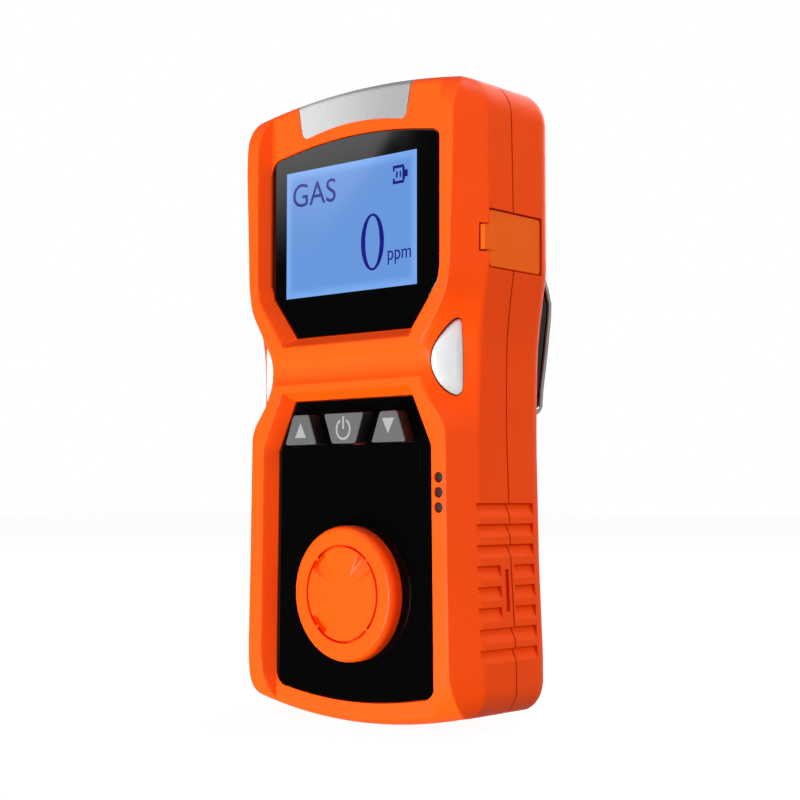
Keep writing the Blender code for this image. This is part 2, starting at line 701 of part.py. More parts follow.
def alarm_parts(frame, mats):
    sounder = cylinder(5.6, 7.1, BOARD_FRONT - GAP, 17.6, BUZZER_HOLES[1], 24)
    new_object("buzzer", sounder, mats["black"], frame, smooth=True)
    gauze = box((BUZZER_X - 1.4, 6.2, 37.8), (BUZZER_X + 1.2, 6.6, 46.8))
    new_object("buzzer_mesh", gauze, mats["steel"], frame)
    motor = cross_cylinder(3.5, -24, -8, 19.0, 42.0)
    new_object("vibration_motor", motor, mats["steel"], frame, smooth=True)
    new_object("alarm_led_top", box((-1.7, 8.2, 109.2), (1.7, 11.7, 111.0)), mats["white"], frame)
    behind = BOARD_FRONT + BOARD_THICK + GAP
    for name, x in (("alarm_led_left", -21.0), ("alarm_led_right", 21.0)):
        led = box((x - 1.4, behind, 81.0), (x + 1.4, behind + 1.7, 84.0))
        new_object(name, led, mats["white"], frame)


def power_parts(frame, mats):
    new_object("battery", box((-17, 16.2, 52), (17, 24.6, 104)), mats["foil"], frame)
    behind = BOARD_FRONT + BOARD_THICK + GAP
    shell = box((17.4, behind, 84.1), (26.4, behind + 3.3, 93.1))
    port = new_object("charge_port", shell, mats["steel"], frame)
    combine(port, box((21.0, behind + 0.4, 84.5), (28.0, behind + 2.9, 92.7)))
    plug = box((-4, behind, 44.4), (4, behind + 1.9, 49.6))
    new_object("board_plug", plug, mats["white"], frame)


# ---------------------------------------------------------------- fasteners

def screw(frame, mat, name, x, z, tip, seat, head_radius, head_height, shank_radius):
    """A pan-head screw driven in from behind, with a cross recess."""
    profile = [(0, tip), (shank_radius * 0.7, tip), (shank_radius, tip + 0.8), (shank_radius, seat),
               (head_radius, seat), (head_radius, seat + head_height * 0.6),
               (head_radius * 0.8, seat + head_height), (0, seat + head_height)]
    piece = new_object(name, lathe(profile, segments=10), mat, frame)
    top = seat + head_height
    reach, thin = head_radius * 0.55, 0.25
    for wide, tall in ((reach, thin), (thin, reach)):
        combine(piece, box((-wide, top - 0.6, -tall), (wide, top + 1, tall)))
    piece.location = (x, 0, z)


def fasteners(frame, mat):
    for number, (x, z) in enumerate(SCREW_PLACES, 1):
        screw(frame, mat, "case_screw_%d" % number, x, z, 8.5, HEAD_SEAT + GAP, 2.1, 1.5, 1.0)
    seat = BOARD_FRONT + BOARD_THICK + 0.2
    for number, x in enumerate((-BOARD_SCREW_X, BOARD_SCREW_X), 1):
        screw(frame, mat, "board_screw_%d" % number, x, BOARD_SCREW_Z, 7.6, seat, 1.6, 1.0, 0.7)
    seat = CASE_DEPTH + PAD_HIGH + GAP + PLATE + GAP
    for number, z in enumerate(CLIP_SCREWS, 1):
        screw(frame, mat, "clip_screw_%d" % number, 0, z, 25.8, seat, 2.2, 1.2, 0.9)


def rating_label(frame, mat):
    half = LABEL_HALF - 0.2
    bm = box((-half, CASE_DEPTH - 0.35, LABEL_Z[0] + 0.2), (half, CASE_DEPTH - 0.1, LABEL_Z[1] - 0.2))
    new_object("rating_label", bm, mat, frame)


# ---------------------------------------------------------------- belt clip

def clip_base(frame, mat):
    """Steel plate on the rear shell with two ears that carry the pin."""
    back = CASE_DEPTH + PAD_HIGH + GAP
    half = 13.4
    plate = box((-half, back, PAD_Z[0] + 1), (half, back + PLATE, PAD_Z[1] - 1))
    piece = new_object("clip_base", plate, mat, frame)
    ear = [(back + 0.2, 71), (back + 3.5, 71), (PIVOT_Y + 0.6, 74.4), (PIVOT_Y + 2.6, PIVOT_Z),
           (PIVOT_Y + 0.6, 79.8), (back + 3.5, 83), (back + 0.2, 83)]
    for side in (-1, 1):
        x0, x1 = sorted((side * (half - PLATE), side * half))
        combine(piece, side_prism(ear, x0, x1), "UNION")
    combine(piece, cross_cylinder(PIN_RADIUS + 0.2, -20, 20, PIVOT_Y, PIVOT_Z))
    for z in CLIP_SCREWS:
        combine(piece, cylinder(1.2, 26, 40, 0, z, 12))


def lever_line():
    """Outer line of the lever from its curled thumb end to its jaw, as (y, z)."""
    line = [(40.6, 89.7)]
    for step in range(3):
        angle = radians(75 - 35 * step)
        line.append((41.5 + 1.8 * cos(angle), 88.0 + 1.8 * sin(angle)))
    line += [(43.3, 86.0), (44.4, 83.6), (45.2, 81.0), (45.0, 78.0), (43.6, 70.0), (42.2, 63.2)]
    for step in range(1, 5):
        angle = radians(-10 - 20 * step)
        line.append((39.0 + 3.2 * cos(angle), 61.2 + 3.2 * sin(angle)))
    line += [(33.0, 57.0), (30.6, 56.6)]
    return line


def thick_line(line, thickness):
    """Close an open line into a strip by offsetting it to its left."""
    inner = []
    for index, point in enumerate(line):
        before = Vector(line[max(index - 1, 0)])
        after = Vector(line[min(index + 1, len(line) - 1)])
        along = (after - before).normalized()
        inner.append((point[0] + along.y * thickness, point[1] - along.x * thickness))
    return line + list(reversed(inner))


def clip_lever(frame, mat):
    """Bent steel plate with a curled thumb end and a jaw that closes on the belt."""
    shape = [(y - PIVOT_Y, z - PIVOT_Z) for y, z in thick_line(lever_line(), PLATE)]
    lever = new_object("clip_lever", side_prism(shape, -CLIP_HALF, CLIP_HALF), mat, frame)
    lever.location = (0, PIVOT_Y, PIVOT_Z)


def clip_liner(frame, mat):
    """Black moulding inside the lever; its cheeks carry the pin."""
    cheek = [(41.4, 85.6), (40.6, 83.4), (36.5, 80.4), (33.4, 78.4), (33.4, 75.6), (36.5, 72.6),
             (38.4, 68.0), (38.4, 62.6), (40.6, 62.6), (42.0, 70.4), (43.4, 78.0), (43.6, 80.9)]
    shape = [(y - PIVOT_Y, z - PIVOT_Z) for y, z in cheek]
    x_out, x_in = CLIP_HALF - 0.3, CLIP_HALF - 2.0
    liner = new_object("clip_liner", side_prism(shape, -x_out, x_out), mat, frame)
    channel = [(-6, 12), (-6, -18), (3.6, -18), (3.6, -14.0), (4.9, -6.4), (6.2, 1.0), (6.2, 3.0),
               (5.2, 12)]
    combine(liner, side_prism(channel, -x_in, x_in))
    combine(liner, cross_cylinder(PIN_RADIUS + 0.2, -20, 20))
    liner.location = (0, PIVOT_Y, PIVOT_Z)


def clip_pin(frame, mat):
    half = CLIP_HALF - 0.8
    pin = new_object("clip_pin", cross_cylinder(PIN_RADIUS, -half, half), mat, frame, smooth=True)
    pin.location = (0, PIVOT_Y, PIVOT_Z)


def clip_spring(frame, mat):
    """Torsion spring round the pin, both legs pointing up."""
    wire, radius, turns, steps, leg = 0.35, 2.4, 5, 10, 6.0
    coil = 4.8
    first, last = radians(150), radians(35)
    turned = turns * 2 * pi + last - first
    count = turns * steps
    points = []
    for step in range(count + 1):
        angle = first + turned * step / count
        points.append(Vector((coil * (step / count - 0.5), radius * cos(angle), radius * sin(angle))))
    for index, lean in ((0, radians(100)), (len(points), radians(62))):
        end = points[0] if index == 0 else points[-1]
        points.insert(index, end + Vector((0, cos(lean), sin(lean))) * leg)
    curve = bpy.data.curves.new("clip_spring", "CURVE")
    curve.dimensions = "3D"
    curve.bevel_depth = wire
    curve.bevel_resolution = 0
    curve.use_fill_caps = True
    spline = curve.splines.new("POLY")
    spline.points.add(len(points) - 1)
    for target, point in zip(spline.points, points):
        target.co = (*point, 1.0)
    wound = bpy.data.objects.new("wound", curve)
    bm = bmesh.new()
    bm.from_mesh(wound.to_mesh())
    bmesh.ops.remove_doubles(bm, verts=bm.verts, dist=0.001)
    bpy.data.objects.remove(wound)
    spring = new_object("clip_spring", bm, mat, frame, smooth=True)
    spring.location = (0, PIVOT_Y, PIVOT_Z)


# ---------------------------------------------------------------- assembly

def make_materials():
    return {
        "orange": material("case_orange", (0.9, 0.14, 0.012), 0.42),
        "cap": material("cap_orange", (0.95, 0.17, 0.015), 0.35),
        "flap": material("flap_orange", (0.72, 0.13, 0.015), 0.6),
        "glass": material("window_black", (0.006, 0.006, 0.007), 0.08),
        "panel": material("panel_black", (0.006, 0.006, 0.006), 0.3),
        "key": material("key_grey", (0.2, 0.2, 0.21), 0.5),
        "black": material("moulded_black", (0.02, 0.02, 0.02), 0.5),
        "rubber": material("rubber_black", (0.03, 0.03, 0.03), 0.8),
        "pale": material("light_window", (0.75, 0.76, 0.77), 0.3),
        "white": material("white_plastic", (0.8, 0.8, 0.8), 0.4),
        "filter": material("filter_white", (0.85, 0.85, 0.83), 0.9),
        "lcd": material("display_blue", (0.15, 0.33, 0.7), 0.2),
        "flex": material("flex_amber", (0.5, 0.25, 0.05), 0.4),
        "board": material("board_green", (0.02, 0.2, 0.06), 0.4),
        "cell": material("sensor_can", (0.55, 0.55, 0.57), 0.35, 0.6),
        "foil": material("battery_wrap", (0.1, 0.2, 0.45), 0.4),
        "steel": material("steel", (0.7, 0.7, 0.72), 0.25, 1.0),
        "label": material("label_silver", (0.7, 0.7, 0.7), 0.5),
    }


def to_metres():
    """Scale every mesh and place from millimetres to metres."""
    for obj in bpy.data.objects:
        obj.location = obj.location * MM
        if obj.type == "MESH":
            obj.data.transform(Matrix.Scale(MM, 4))


def build():
    for obj in list(bpy.data.objects):
        bpy.data.objects.remove(obj)
    mats = make_materials()
    frame = bpy.data.objects.new("detector_frame", None)
    frame.location = (0, RIM_Y, -CASE_FOOT)
    bpy.context.collection.objects.link(frame)
    front_shell(frame, mats["orange"])
    rear_shell(frame, mats["orange"])
    case_seal(frame, mats["rubber"])
    display_lens(frame, mats["glass"])
    key_panel(frame, mats["panel"])
    keys(frame, mats["key"])
    keypad_mat(frame, mats["rubber"])
    switches(frame, mats["black"])
    sensor_cap(frame, mats["cap"])
    sensor_pieces(frame, mats)
    top_light_window(frame, mats["pale"])
    for side in (-1, 1):
        side_light_window(frame, mats["pale"], side)
    port_flap(frame, mats["flap"])
    display_module(frame, mats)
    main_board(frame, mats["board"])
    alarm_parts(frame, mats)
    power_parts(frame, mats)
    fasteners(frame, mats["steel"])
    rating_label(frame, mats["label"])
    clip_base(frame, mats["steel"])
    clip_lever(frame, mats["steel"])
    clip_liner(frame, mats["black"])
    clip_pin(frame, mats["steel"])
    clip_spring(frame, mats["steel"])
    to_metres()


build()
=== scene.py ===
from math import atan, atan2, cos, hypot, pi, radians, sin, sqrt, tan

import bmesh
import bpy
from mathutils import Matrix, Vector


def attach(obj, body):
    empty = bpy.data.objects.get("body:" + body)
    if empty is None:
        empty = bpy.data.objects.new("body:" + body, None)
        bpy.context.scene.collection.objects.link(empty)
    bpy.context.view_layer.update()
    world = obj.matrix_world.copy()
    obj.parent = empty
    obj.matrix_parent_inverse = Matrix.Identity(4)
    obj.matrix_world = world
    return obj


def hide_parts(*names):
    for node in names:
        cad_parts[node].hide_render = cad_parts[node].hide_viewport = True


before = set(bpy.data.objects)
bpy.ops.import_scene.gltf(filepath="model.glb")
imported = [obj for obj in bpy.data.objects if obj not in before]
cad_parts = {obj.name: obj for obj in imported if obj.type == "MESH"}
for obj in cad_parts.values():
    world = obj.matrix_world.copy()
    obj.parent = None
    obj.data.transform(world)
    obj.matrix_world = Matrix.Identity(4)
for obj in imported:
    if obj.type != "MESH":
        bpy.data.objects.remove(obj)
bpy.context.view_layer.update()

# Shapes are drawn in millimetres: x to the right of someone facing the display, y from the front rim
# to the back, z up. The last step of each piece turns them into metres and stands them on the floor.
rimPlace = -22.4
footRise = 0.9


# --- making and placing pieces

def finishPiece(name, bm, body, paints, nodes=(), sharpFrom=38.0):
    # metres, smooth faces with sharp creases, then onto its body
    bmesh.ops.remove_doubles(bm, verts=bm.verts, dist=0.0004)
    bmesh.ops.recalc_face_normals(bm, faces=bm.faces)
    bmesh.ops.translate(bm, vec=(0, rimPlace, footRise), verts=bm.verts)
    bmesh.ops.scale(bm, vec=(0.001, 0.001, 0.001), verts=bm.verts)
    for face in bm.faces:
        face.smooth = True
    for edge in bm.edges:
        edge.smooth = not (edge.is_manifold and edge.calc_face_angle() > radians(sharpFrom))
    mesh = bpy.data.meshes.new(name)
    bm.to_mesh(mesh)
    bm.free()
    piece = bpy.data.objects.new(name, mesh)
    bpy.context.scene.collection.objects.link(piece)
    for paint in paints:
        mesh.materials.append(paint)
    steady = piece.modifiers.new("evenFaces", "WEIGHTED_NORMAL")
    steady.keep_sharp = True
    steady.weight = 60
    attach(piece, body)
    if nodes:
        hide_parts(*nodes)
    return piece


def loopOf(bm, points):
    corners = [bm.verts.new(point) for point in points]
    return [bm.edges.new(pair) for pair in zip(corners, corners[1:] + corners[:1])]


def prism(outline, near, far, bm=None):
    # a straight block along y from an outline of (x, z)
    bm = bm or bmesh.new()
    nearLoop = loopOf(bm, [(x, near, z) for x, z in outline])
    farLoop = loopOf(bm, [(x, far, z) for x, z in outline])
    bmesh.ops.bridge_loops(bm, edges=nearLoop + farLoop)
    bmesh.ops.holes_fill(bm, edges=nearLoop + farLoop, sides=0)
    return bm


def pushed(bm, faces, way):
    # faces drawn out into a solid
    grown = bmesh.ops.extrude_face_region(bm, geom=faces)
    moved = [item for item in grown["geom"] if isinstance(item, bmesh.types.BMVert)]
    bmesh.ops.translate(bm, vec=way, verts=moved)
    return bm


def sidePrism(outline, near, far):
    # a straight block along x from an outline of (y, z)
    bm = bmesh.new()
    face = bm.faces.new([bm.verts.new((near, y, z)) for y, z in outline])
    return pushed(bm, [face], (far - near, 0, 0))


def block(low, high, bm=None):
    bm = bm or bmesh.new()
    middle = [(a + b) / 2 for a, b in zip(low, high)]
    size = [b - a for a, b in zip(low, high)]
    bmesh.ops.create_cube(bm, size=1, matrix=Matrix.Translation(middle) @ Matrix.Diagonal((*size, 1)))
    return bm


def rod(radius, near, far, x, z, segments=32, bm=None):
    # a round bar along y
    bm = bm or bmesh.new()
    turn = Matrix.Translation((x, (near + far) / 2, z)) @ Matrix.Rotation(-pi / 2, 4, "X")
    bmesh.ops.create_cone(bm, cap_ends=True, segments=segments, radius1=radius, radius2=radius,
                          depth=far - near, matrix=turn)
    return bm


def turned(profile, segments, x=0.0, z=0.0):
    # a solid turned about a y axis, from a profile of (radius, y) that starts and ends on the axis
    bm = bmesh.new()
    corners = [bm.verts.new((r, y, 0)) for r, y in profile]
    edges = [bm.edges.new(pair) for pair in zip(corners, corners[1:])]
    bmesh.ops.spin(bm, geom=corners + edges, cent=(0, 0, 0), axis=(0, 1, 0), angle=2 * pi,
                   steps=segments, use_merge=True)
    bmesh.ops.remove_doubles(bm, verts=bm.verts, dist=0.001)
    bmesh.ops.translate(bm, vec=(x, 0, z), verts=bm.verts)
    return bm


def gather(pieces):
    # several loose solids as one bmesh
    whole = bmesh.new()
    for bm in pieces:
        spare = bpy.data.meshes.new("spare")
        bmesh.ops.recalc_face_normals(bm, faces=bm.faces)
        bm.to_mesh(spare)
        bm.free()
        whole.from_mesh(spare)
        bpy.data.meshes.remove(spare)
    return whole


def combined(bm, tool, operation="DIFFERENCE"):
    # one exact Boolean of two bmeshes
    held = []
    for part in (bm, tool):
        bmesh.ops.recalc_face_normals(part, faces=part.faces)
        mesh = bpy.data.meshes.new("held")
        part.to_mesh(mesh)
        part.free()
        thing = bpy.data.objects.new("held", mesh)
        bpy.context.scene.collection.objects.link(thing)
        held.append(thing)
    step = held[0].modifiers.new("cut", "BOOLEAN")
    step.operation = operation
    step.solver = "EXACT"
    step.object = held[1]
    bpy.context.view_layer.update()
    shape = held[0].evaluated_get(bpy.context.evaluated_depsgraph_get())
    made = bpy.data.meshes.new_from_object(shape)
    result = bmesh.new()
    result.from_mesh(made)
    spent = [made] + [thing.data for thing in held]
    for thing in held:
        bpy.data.objects.remove(thing)
    for mesh in spent:
        bpy.data.meshes.remove(mesh)
    return result


def rounded(bm, width, segments=2, over=30.0, where=None):
    # round the creases that are sharper than `over` degrees
    bmesh.ops.remove_doubles(bm, verts=bm.verts, dist=0.0005)
    bmesh.ops.recalc_face_normals(bm, faces=bm.faces)
    creases = [edge for edge in bm.edges if edge.is_manifold and edge.calc_face_angle() > radians(over)
               and (where is None or where(edge))]
    bmesh.ops.bevel(bm, geom=creases, offset=width, segments=segments, profile=0.5, affect="EDGES",
                    clamp_overlap=True, material=-1)
    return bm


def copyOfNode(name):
    # a CAD node's shape in millimetres, merged into whole faces
    bm = bmesh.new()
    bm.from_mesh(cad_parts[name].data)
    bmesh.ops.scale(bm, vec=(1000, 1000, 1000), verts=bm.verts)
    bmesh.ops.translate(bm, vec=(0, -rimPlace, -footRise), verts=bm.verts)
    bmesh.ops.remove_doubles(bm, verts=bm.verts, dist=0.002)
    bmesh.ops.dissolve_limit(bm, angle_limit=radians(1.5), verts=bm.verts, edges=bm.edges)
    return bm


def bothSides(half):
    return half + [(-x, z) for x, z in reversed(half)]


def softened(outline, radius, steps=4):
    # round every corner of an outline
    soft = []
    count = len(outline)
    for index, corner in enumerate(outline):
        here = Vector(corner)
        before = Vector(outline[index - 1]) - here
        after = Vector(outline[(index + 1) % count]) - here
        reach = min(radius, before.length * 0.45, after.length * 0.45)
        start, end = here + before.normalized() * reach, here + after.normalized() * reach
        for step in range(steps + 1):
            t = step / steps
            soft.append(tuple(start * (1 - t) ** 2 + here * 2 * t * (1 - t) + end * t * t))
    return soft


# --- shader sums

class Wire:
    # one socket, so that shader maths can be written as sums
    def __init__(self, sheet, socket):
        self.sheet = sheet
        self.socket = socket

    def maths(self, operation, first, second):
        return self.sheet.node("ShaderNodeMath", {"operation": operation}, {0: first, 1: second})[0]

    def __add__(self, other):
        return self.maths("ADD", self, other)

    def __radd__(self, other):
        return self.maths("ADD", other, self)

    def __sub__(self, other):
        return self.maths("SUBTRACT", self, other)

    def __rsub__(self, other):
        return self.maths("SUBTRACT", other, self)

    def __mul__(self, other):
        return self.maths("MULTIPLY", self, other)

    def __rmul__(self, other):
        return self.maths("MULTIPLY", other, self)

    def __truediv__(self, other):
        return self.maths("DIVIDE", self, other)

    def __rtruediv__(self, other):
        return self.maths("DIVIDE", other, self)

    def size(self):
        return self.maths("ABSOLUTE", self, 0.0)

    def highest(self, other):
        return self.maths("MAXIMUM", self, other)

    def zigzag(self, reach):
        # up and down between 0 and 1, turning at every reach
        return self.maths("PINGPONG", self, reach) / reach

    def __gt__(self, other):
        return self.maths("GREATER_THAN", self, other)

    def __lt__(self, other):
        return self.maths("LESS_THAN", self, other)


class Sheet:
    # the node sheet of one material
    def __init__(self, name):
        self.material = bpy.data.materials.new(name)
        self.material.use_nodes = True
        self.tree = self.material.node_tree
        self.shader = self.tree.nodes["Principled BSDF"]

    def node(self, kind, settings=None, values=None):
        # a new node: settings first, then values or links by socket name or number
        made = self.tree.nodes.new(kind)
        for key, value in (settings or {}).items():
            if key == "stops":
                while len(made.color_ramp.elements) < len(value):
                    made.color_ramp.elements.new(0.5)
                for stop, (place, colour) in zip(made.color_ramp.elements, value):
                    stop.position = place
                    stop.color = (*colour, 1.0) if len(colour) == 3 else (colour[0],) * 3 + (1.0,)
            else:
                setattr(made, key, value)
        for key, value in (values or {}).items():
            self.feed(made.inputs[key], value)
        return [Wire(self, socket) for socket in made.outputs]

    def feed(self, socket, value):
        if isinstance(value, Wire):
            self.tree.links.new(value.socket, socket)
        elif isinstance(value, tuple) and socket.type == "RGBA" and len(value) == 3:
            socket.default_value = (*value, 1.0)
        else:
            socket.default_value = value

    def coords(self, scale=(1, 1, 1), place=(0, 0, 0), turn=(0, 0, 0)):
        # object coordinates, in metres, through a mapping
        plain = self.node("ShaderNodeTexCoord")[3]
        return self.node("ShaderNodeMapping", {}, {"Vector": plain, "Scale": scale, "Location": place,
                                                   "Rotation": turn})[0]

    def axes(self):
        plain = self.node("ShaderNodeTexCoord")[3]
        return self.node("ShaderNodeSeparateXYZ", {}, {0: plain})

    def noise(self, scale, detail=3.0, rough=0.5, where=None):
        values = {"Scale": scale, "Detail": detail, "Roughness": rough}
        values["Vector"] = where or self.coords()
        return self.node("ShaderNodeTexNoise", {}, values)[0]

    def ramp(self, value, low, high):
        # 0 below low and 1 above high
        settings = {"interpolation_type": "SMOOTHSTEP"}
        return self.node("ShaderNodeMapRange", settings, {"Value": value, 1: low, 2: high})[0]

    def mix(self, share, first, second, way="MIX"):
        settings = {"data_type": "RGBA", "blend_type": way}
        return self.node("ShaderNodeMix", settings, {0: share, 6: first, 7: second})[2]

    def bump(self, height, strength, distance):
        values = {"Height": height, "Strength": strength, "Distance": distance}
        return self.node("ShaderNodeBump", {}, values)[0]

    def paint(self, **sockets):
        # set the main shader's sockets: names are written without their spaces
        for key, value in sockets.items():
            name = {"colour": "Base Color", "rough": "Roughness", "metal": "Metallic",
                    "gloss": "Specular IOR Level", "coat": "Coat Weight", "coatRough": "Coat Roughness",
                    "glow": "Emission Color", "glowPower": "Emission Strength",
                    "normal": "Normal"}[key]
            self.feed(self.shader.inputs[name], value)
        return self.material


# --- finishes

def mouldedPlastic(name, look):
    # moulded plastic: faint cloudiness in the colour, a fine sparked grain, rubbed patches
    sheet = Sheet(name)
    cloud = sheet.noise(look["cloud"], 4.0)
    fleck = sheet.noise(2600.0, 2.0)
    shade = sheet.mix(sheet.ramp(cloud, 0.35, 0.65), look["dark"], look["colour"])
    colour = sheet.mix(sheet.ramp(fleck, 0.3, 0.7) * look["fleck"], shade, look["light"])
    rubbed = sheet.noise(170.0, 5.0, 0.6)
    rough = look["rough"] + (rubbed - 0.5) * look["roughSpread"] + (fleck - 0.5) * 0.06
    grain = sheet.noise(look["grain"], 2.0, 0.6)
    swirl = sheet.noise(look["grain"] * 0.23, 2.0)
    height = grain * 0.7 + swirl * 0.3
    normal = sheet.bump(height, look["grainPower"], 0.00004)
    return sheet.paint(colour=colour, rough=rough, normal=normal, gloss=look["gloss"])


shellLook = {"colour": (0.93, 0.071, 0.0015), "dark": (0.91, 0.066, 0.0015), "light": (0.95, 0.08, 0.003),
             "cloud": 55.0, "fleck": 0.35, "rough": 0.42, "roughSpread": 0.12, "grain": 5200.0,
             "grainPower": 0.18, "gloss": 0.18}
capLook = dict(shellLook, rough=0.36, grainPower=0.1)
flapLook = dict(shellLook, colour=(0.91, 0.128, 0.006), dark=(0.88, 0.118, 0.005), light=(0.93, 0.14, 0.01),
                rough=0.6, grainPower=0.35, gloss=0.18)
blackMouldLook = dict(shellLook, colour=(0.022, 0.022, 0.024), dark=(0.016, 0.016, 0.017),
                      light=(0.035, 0.035, 0.038), rough=0.48, grainPower=0.3)
rubberLook = dict(blackMouldLook, rough=0.75, grainPower=0.45, gloss=0.2)
# the key's face and skirt are lit and shaded copies of one dark plastic: the darker skirt is painted shade on
# the key's side walls
shadedKeySideLook = dict(blackMouldLook, colour=(0.02, 0.02, 0.022), light=(0.028, 0.028, 0.03), rough=0.6,
                   gloss=0.2)
keyFaceLook = dict(blackMouldLook, colour=(0.082, 0.082, 0.085), dark=(0.076, 0.076, 0.078),
                   light=(0.092, 0.092, 0.095), rough=0.55, grainPower=0.2, gloss=0.2)
keyMarkLook = dict(keyFaceLook, colour=(0.25, 0.25, 0.26), dark=(0.23, 0.23, 0.24), light=(0.28, 0.28, 0.29))
whitePlasticLook = dict(shellLook, colour=(0.72, 0.72, 0.7), dark=(0.68, 0.68, 0.65), light=(0.8, 0.8, 0.78))


def lightWindowPaint():
    # frosted light guide: milky and darker towards its right end, with a sparkle of fine facets
    sheet = Sheet("frostedWindow")
    x, y, z = sheet.axes()
    spark = sheet.node("ShaderNodeTexVoronoi", {"feature": "F1"}, {"Vector": sheet.coords(), "Scale": 5200.0})
    tone = sheet.node("ShaderNodeSeparateColor", {}, {0: spark[1]})[0]
    cloud = sheet.noise(90.0, 3.0)
    base = sheet.mix(sheet.ramp(x, -0.014, 0.012), (0.37, 0.37, 0.375), (0.23, 0.23, 0.23))
    colour = sheet.mix(sheet.ramp(tone, 0.5, 1.0) * 0.2, base, (0.44, 0.44, 0.44))
    rough = 0.3 + tone * 0.25 + (cloud - 0.5) * 0.1
    normal = sheet.bump(tone, 0.1, 0.00003)
    return sheet.paint(colour=colour, rough=rough, normal=normal, gloss=0.35, coat=0.15, coatRough=0.15)


def sideWindowPaint():
    sheet = Sheet("milkWindow")
    cloud = sheet.noise(140.0, 3.0)
    grain = sheet.noise(4200.0, 2.0)
    colour = sheet.mix(sheet.ramp(cloud, 0.3, 0.7), (0.56, 0.565, 0.57), (0.62, 0.625, 0.63))
    normal = sheet.bump(grain, 0.12, 0.00003)
    rough = 0.28 + (cloud - 0.5) * 0.1
    return sheet.paint(colour=colour, rough=rough, normal=normal, coat=0.3, coatRough=0.1)


def glassPaint(name, tone, gloss):
    # black printed border under a flat clear sheet: nearly even, with faint wipe marks
    sheet = Sheet(name)
    wipe = sheet.noise(60.0, 5.0, 0.6, sheet.coords((1, 1, 0.25), turn=(0, radians(28), 0)))
    dust = sheet.noise(1900.0, 2.0)
    colour = sheet.mix(sheet.ramp(dust, 0.62, 0.8), (tone, tone, tone), (tone * 2.2, tone * 2.2, tone * 2.3))
    rough = 0.035 + sheet.ramp(wipe, 0.45, 0.8) * 0.05
    normal = sheet.bump(sheet.noise(35.0, 2.0), 0.02, 0.0002)
    return sheet.paint(colour=colour, rough=rough, normal=normal, gloss=gloss)


screenLook = {"middle": -0.95, "half": 17.15, "low": 80.8, "high": 106.0, "blue": (0.125, 0.285, 0.66),
              "edge": (0.19, 0.39, 0.83), "glow": 1.0, "cell": 0.42, "marks": (2.535, 2.58)}


def screenPaint():
    # backlit display: brighter along its edges, with a faint grid of cells
    sheet = Sheet("displayBlue")
    x, y, z = sheet.axes()
    middle = (screenLook["low"] + screenLook["high"]) / 2000 + footRise / 1000
    half = (screenLook["high"] - screenLook["low"]) / 2000
    across = (x - screenLook["middle"] / 1000).size()
    upward = (z - middle).size()
    nearSide = sheet.ramp(across, screenLook["half"] / 1000 - 0.0022, screenLook["half"] / 1000 - 0.0002)
    nearEnd = sheet.ramp(upward, half - 0.0022, half - 0.0002)
    edge = nearSide.highest(nearEnd)
    cloud = sheet.noise(45.0, 2.0)
    pitch = screenLook["cell"] / 1000
    lineX = x.zigzag(pitch / 2)
    lineZ = z.zigzag(pitch / 2)
    grid = sheet.ramp(lineX, 0.86, 1.0).highest(sheet.ramp(lineZ, 0.86, 1.0))
    plain = sheet.mix(edge * 0.95, screenLook["blue"], screenLook["edge"])
    cloudy = sheet.mix(sheet.ramp(cloud, 0.3, 0.7) * 0.1, plain, screenLook["edge"])
    glow = sheet.mix(grid * 0.06, cloudy, (0.05, 0.12, 0.4))
    return sheet.paint(colour=(0.008, 0.012, 0.025), glow=glow, glowPower=screenLook["glow"], rough=0.05,
                       gloss=0.5)


def screenInkPaint():
    sheet = Sheet("displayInk")
    cloud = sheet.noise(900.0, 2.0)
    colour = sheet.mix(sheet.ramp(cloud, 0.3, 0.7), (0.006, 0.006, 0.16), (0.012, 0.012, 0.22))
    return sheet.paint(colour=(0.002, 0.002, 0.02), glow=colour, glowPower=1.0, rough=0.05, gloss=0.5)


def steelPaint(name, look):
    # bright plated steel, brushed along one direction
    sheet = Sheet(name)
    brushed = sheet.noise(900.0, 4.0, 0.6, sheet.coords(look["stretch"]))
    cloud = sheet.noise(120.0, 4.0)
    pits = sheet.noise(2200.0, 2.0)
    colour = sheet.mix(sheet.ramp(cloud, 0.3, 0.7), look["dark"], look["colour"])
    rough = look["rough"] + (brushed - 0.5) * 0.22 + (cloud - 0.5) * 0.08
    normal = sheet.bump(brushed * 0.8 + sheet.ramp(pits, 0.2, 0.35) * 0.2, look["brush"], 0.00002)
    return sheet.paint(colour=colour, metal=1.0, rough=rough, normal=normal)


steelLook = {"colour": (0.74, 0.74, 0.76), "dark": (0.62, 0.62, 0.64), "rough": 0.24, "brush": 0.25,
             "stretch": (0.06, 1.0, 1.0)}
plainSteelLook = dict(steelLook, rough=0.3, stretch=(1.0, 1.0, 1.0), brush=0.15)
canLook = dict(plainSteelLook, colour=(0.55, 0.55, 0.57), dark=(0.48, 0.48, 0.5), rough=0.36)


def boardPaint():
    # solder resist with traces below it and bare pads
    sheet = Sheet("circuitGreen")
    where = sheet.coords((1, 0.02, 1))
    cells = sheet.node("ShaderNodeTexBrick", {"offset": 0.5},
                       {"Vector": sheet.coords((1, 1, 1), turn=(radians(90), 0, 0)), "Scale": 260.0,
                        "Mortar Size": 0.012, "Color1": (0.01, 0.13, 0.04), "Color2": (0.014, 0.17, 0.05),
                        "Mortar": (0.02, 0.26, 0.08)})
    pads = sheet.node("ShaderNodeTexVoronoi", {"feature": "F1"}, {"Vector": where, "Scale": 420.0})[0]
    pad = pads < 0.13
    colour = sheet.mix(pad, cells[0], (0.75, 0.62, 0.35))
    normal = sheet.bump(cells[1], 0.3, 0.00003)
    return sheet.paint(colour=colour, metal=pad, rough=0.32 + sheet.noise(300.0) * 0.1, normal=normal)


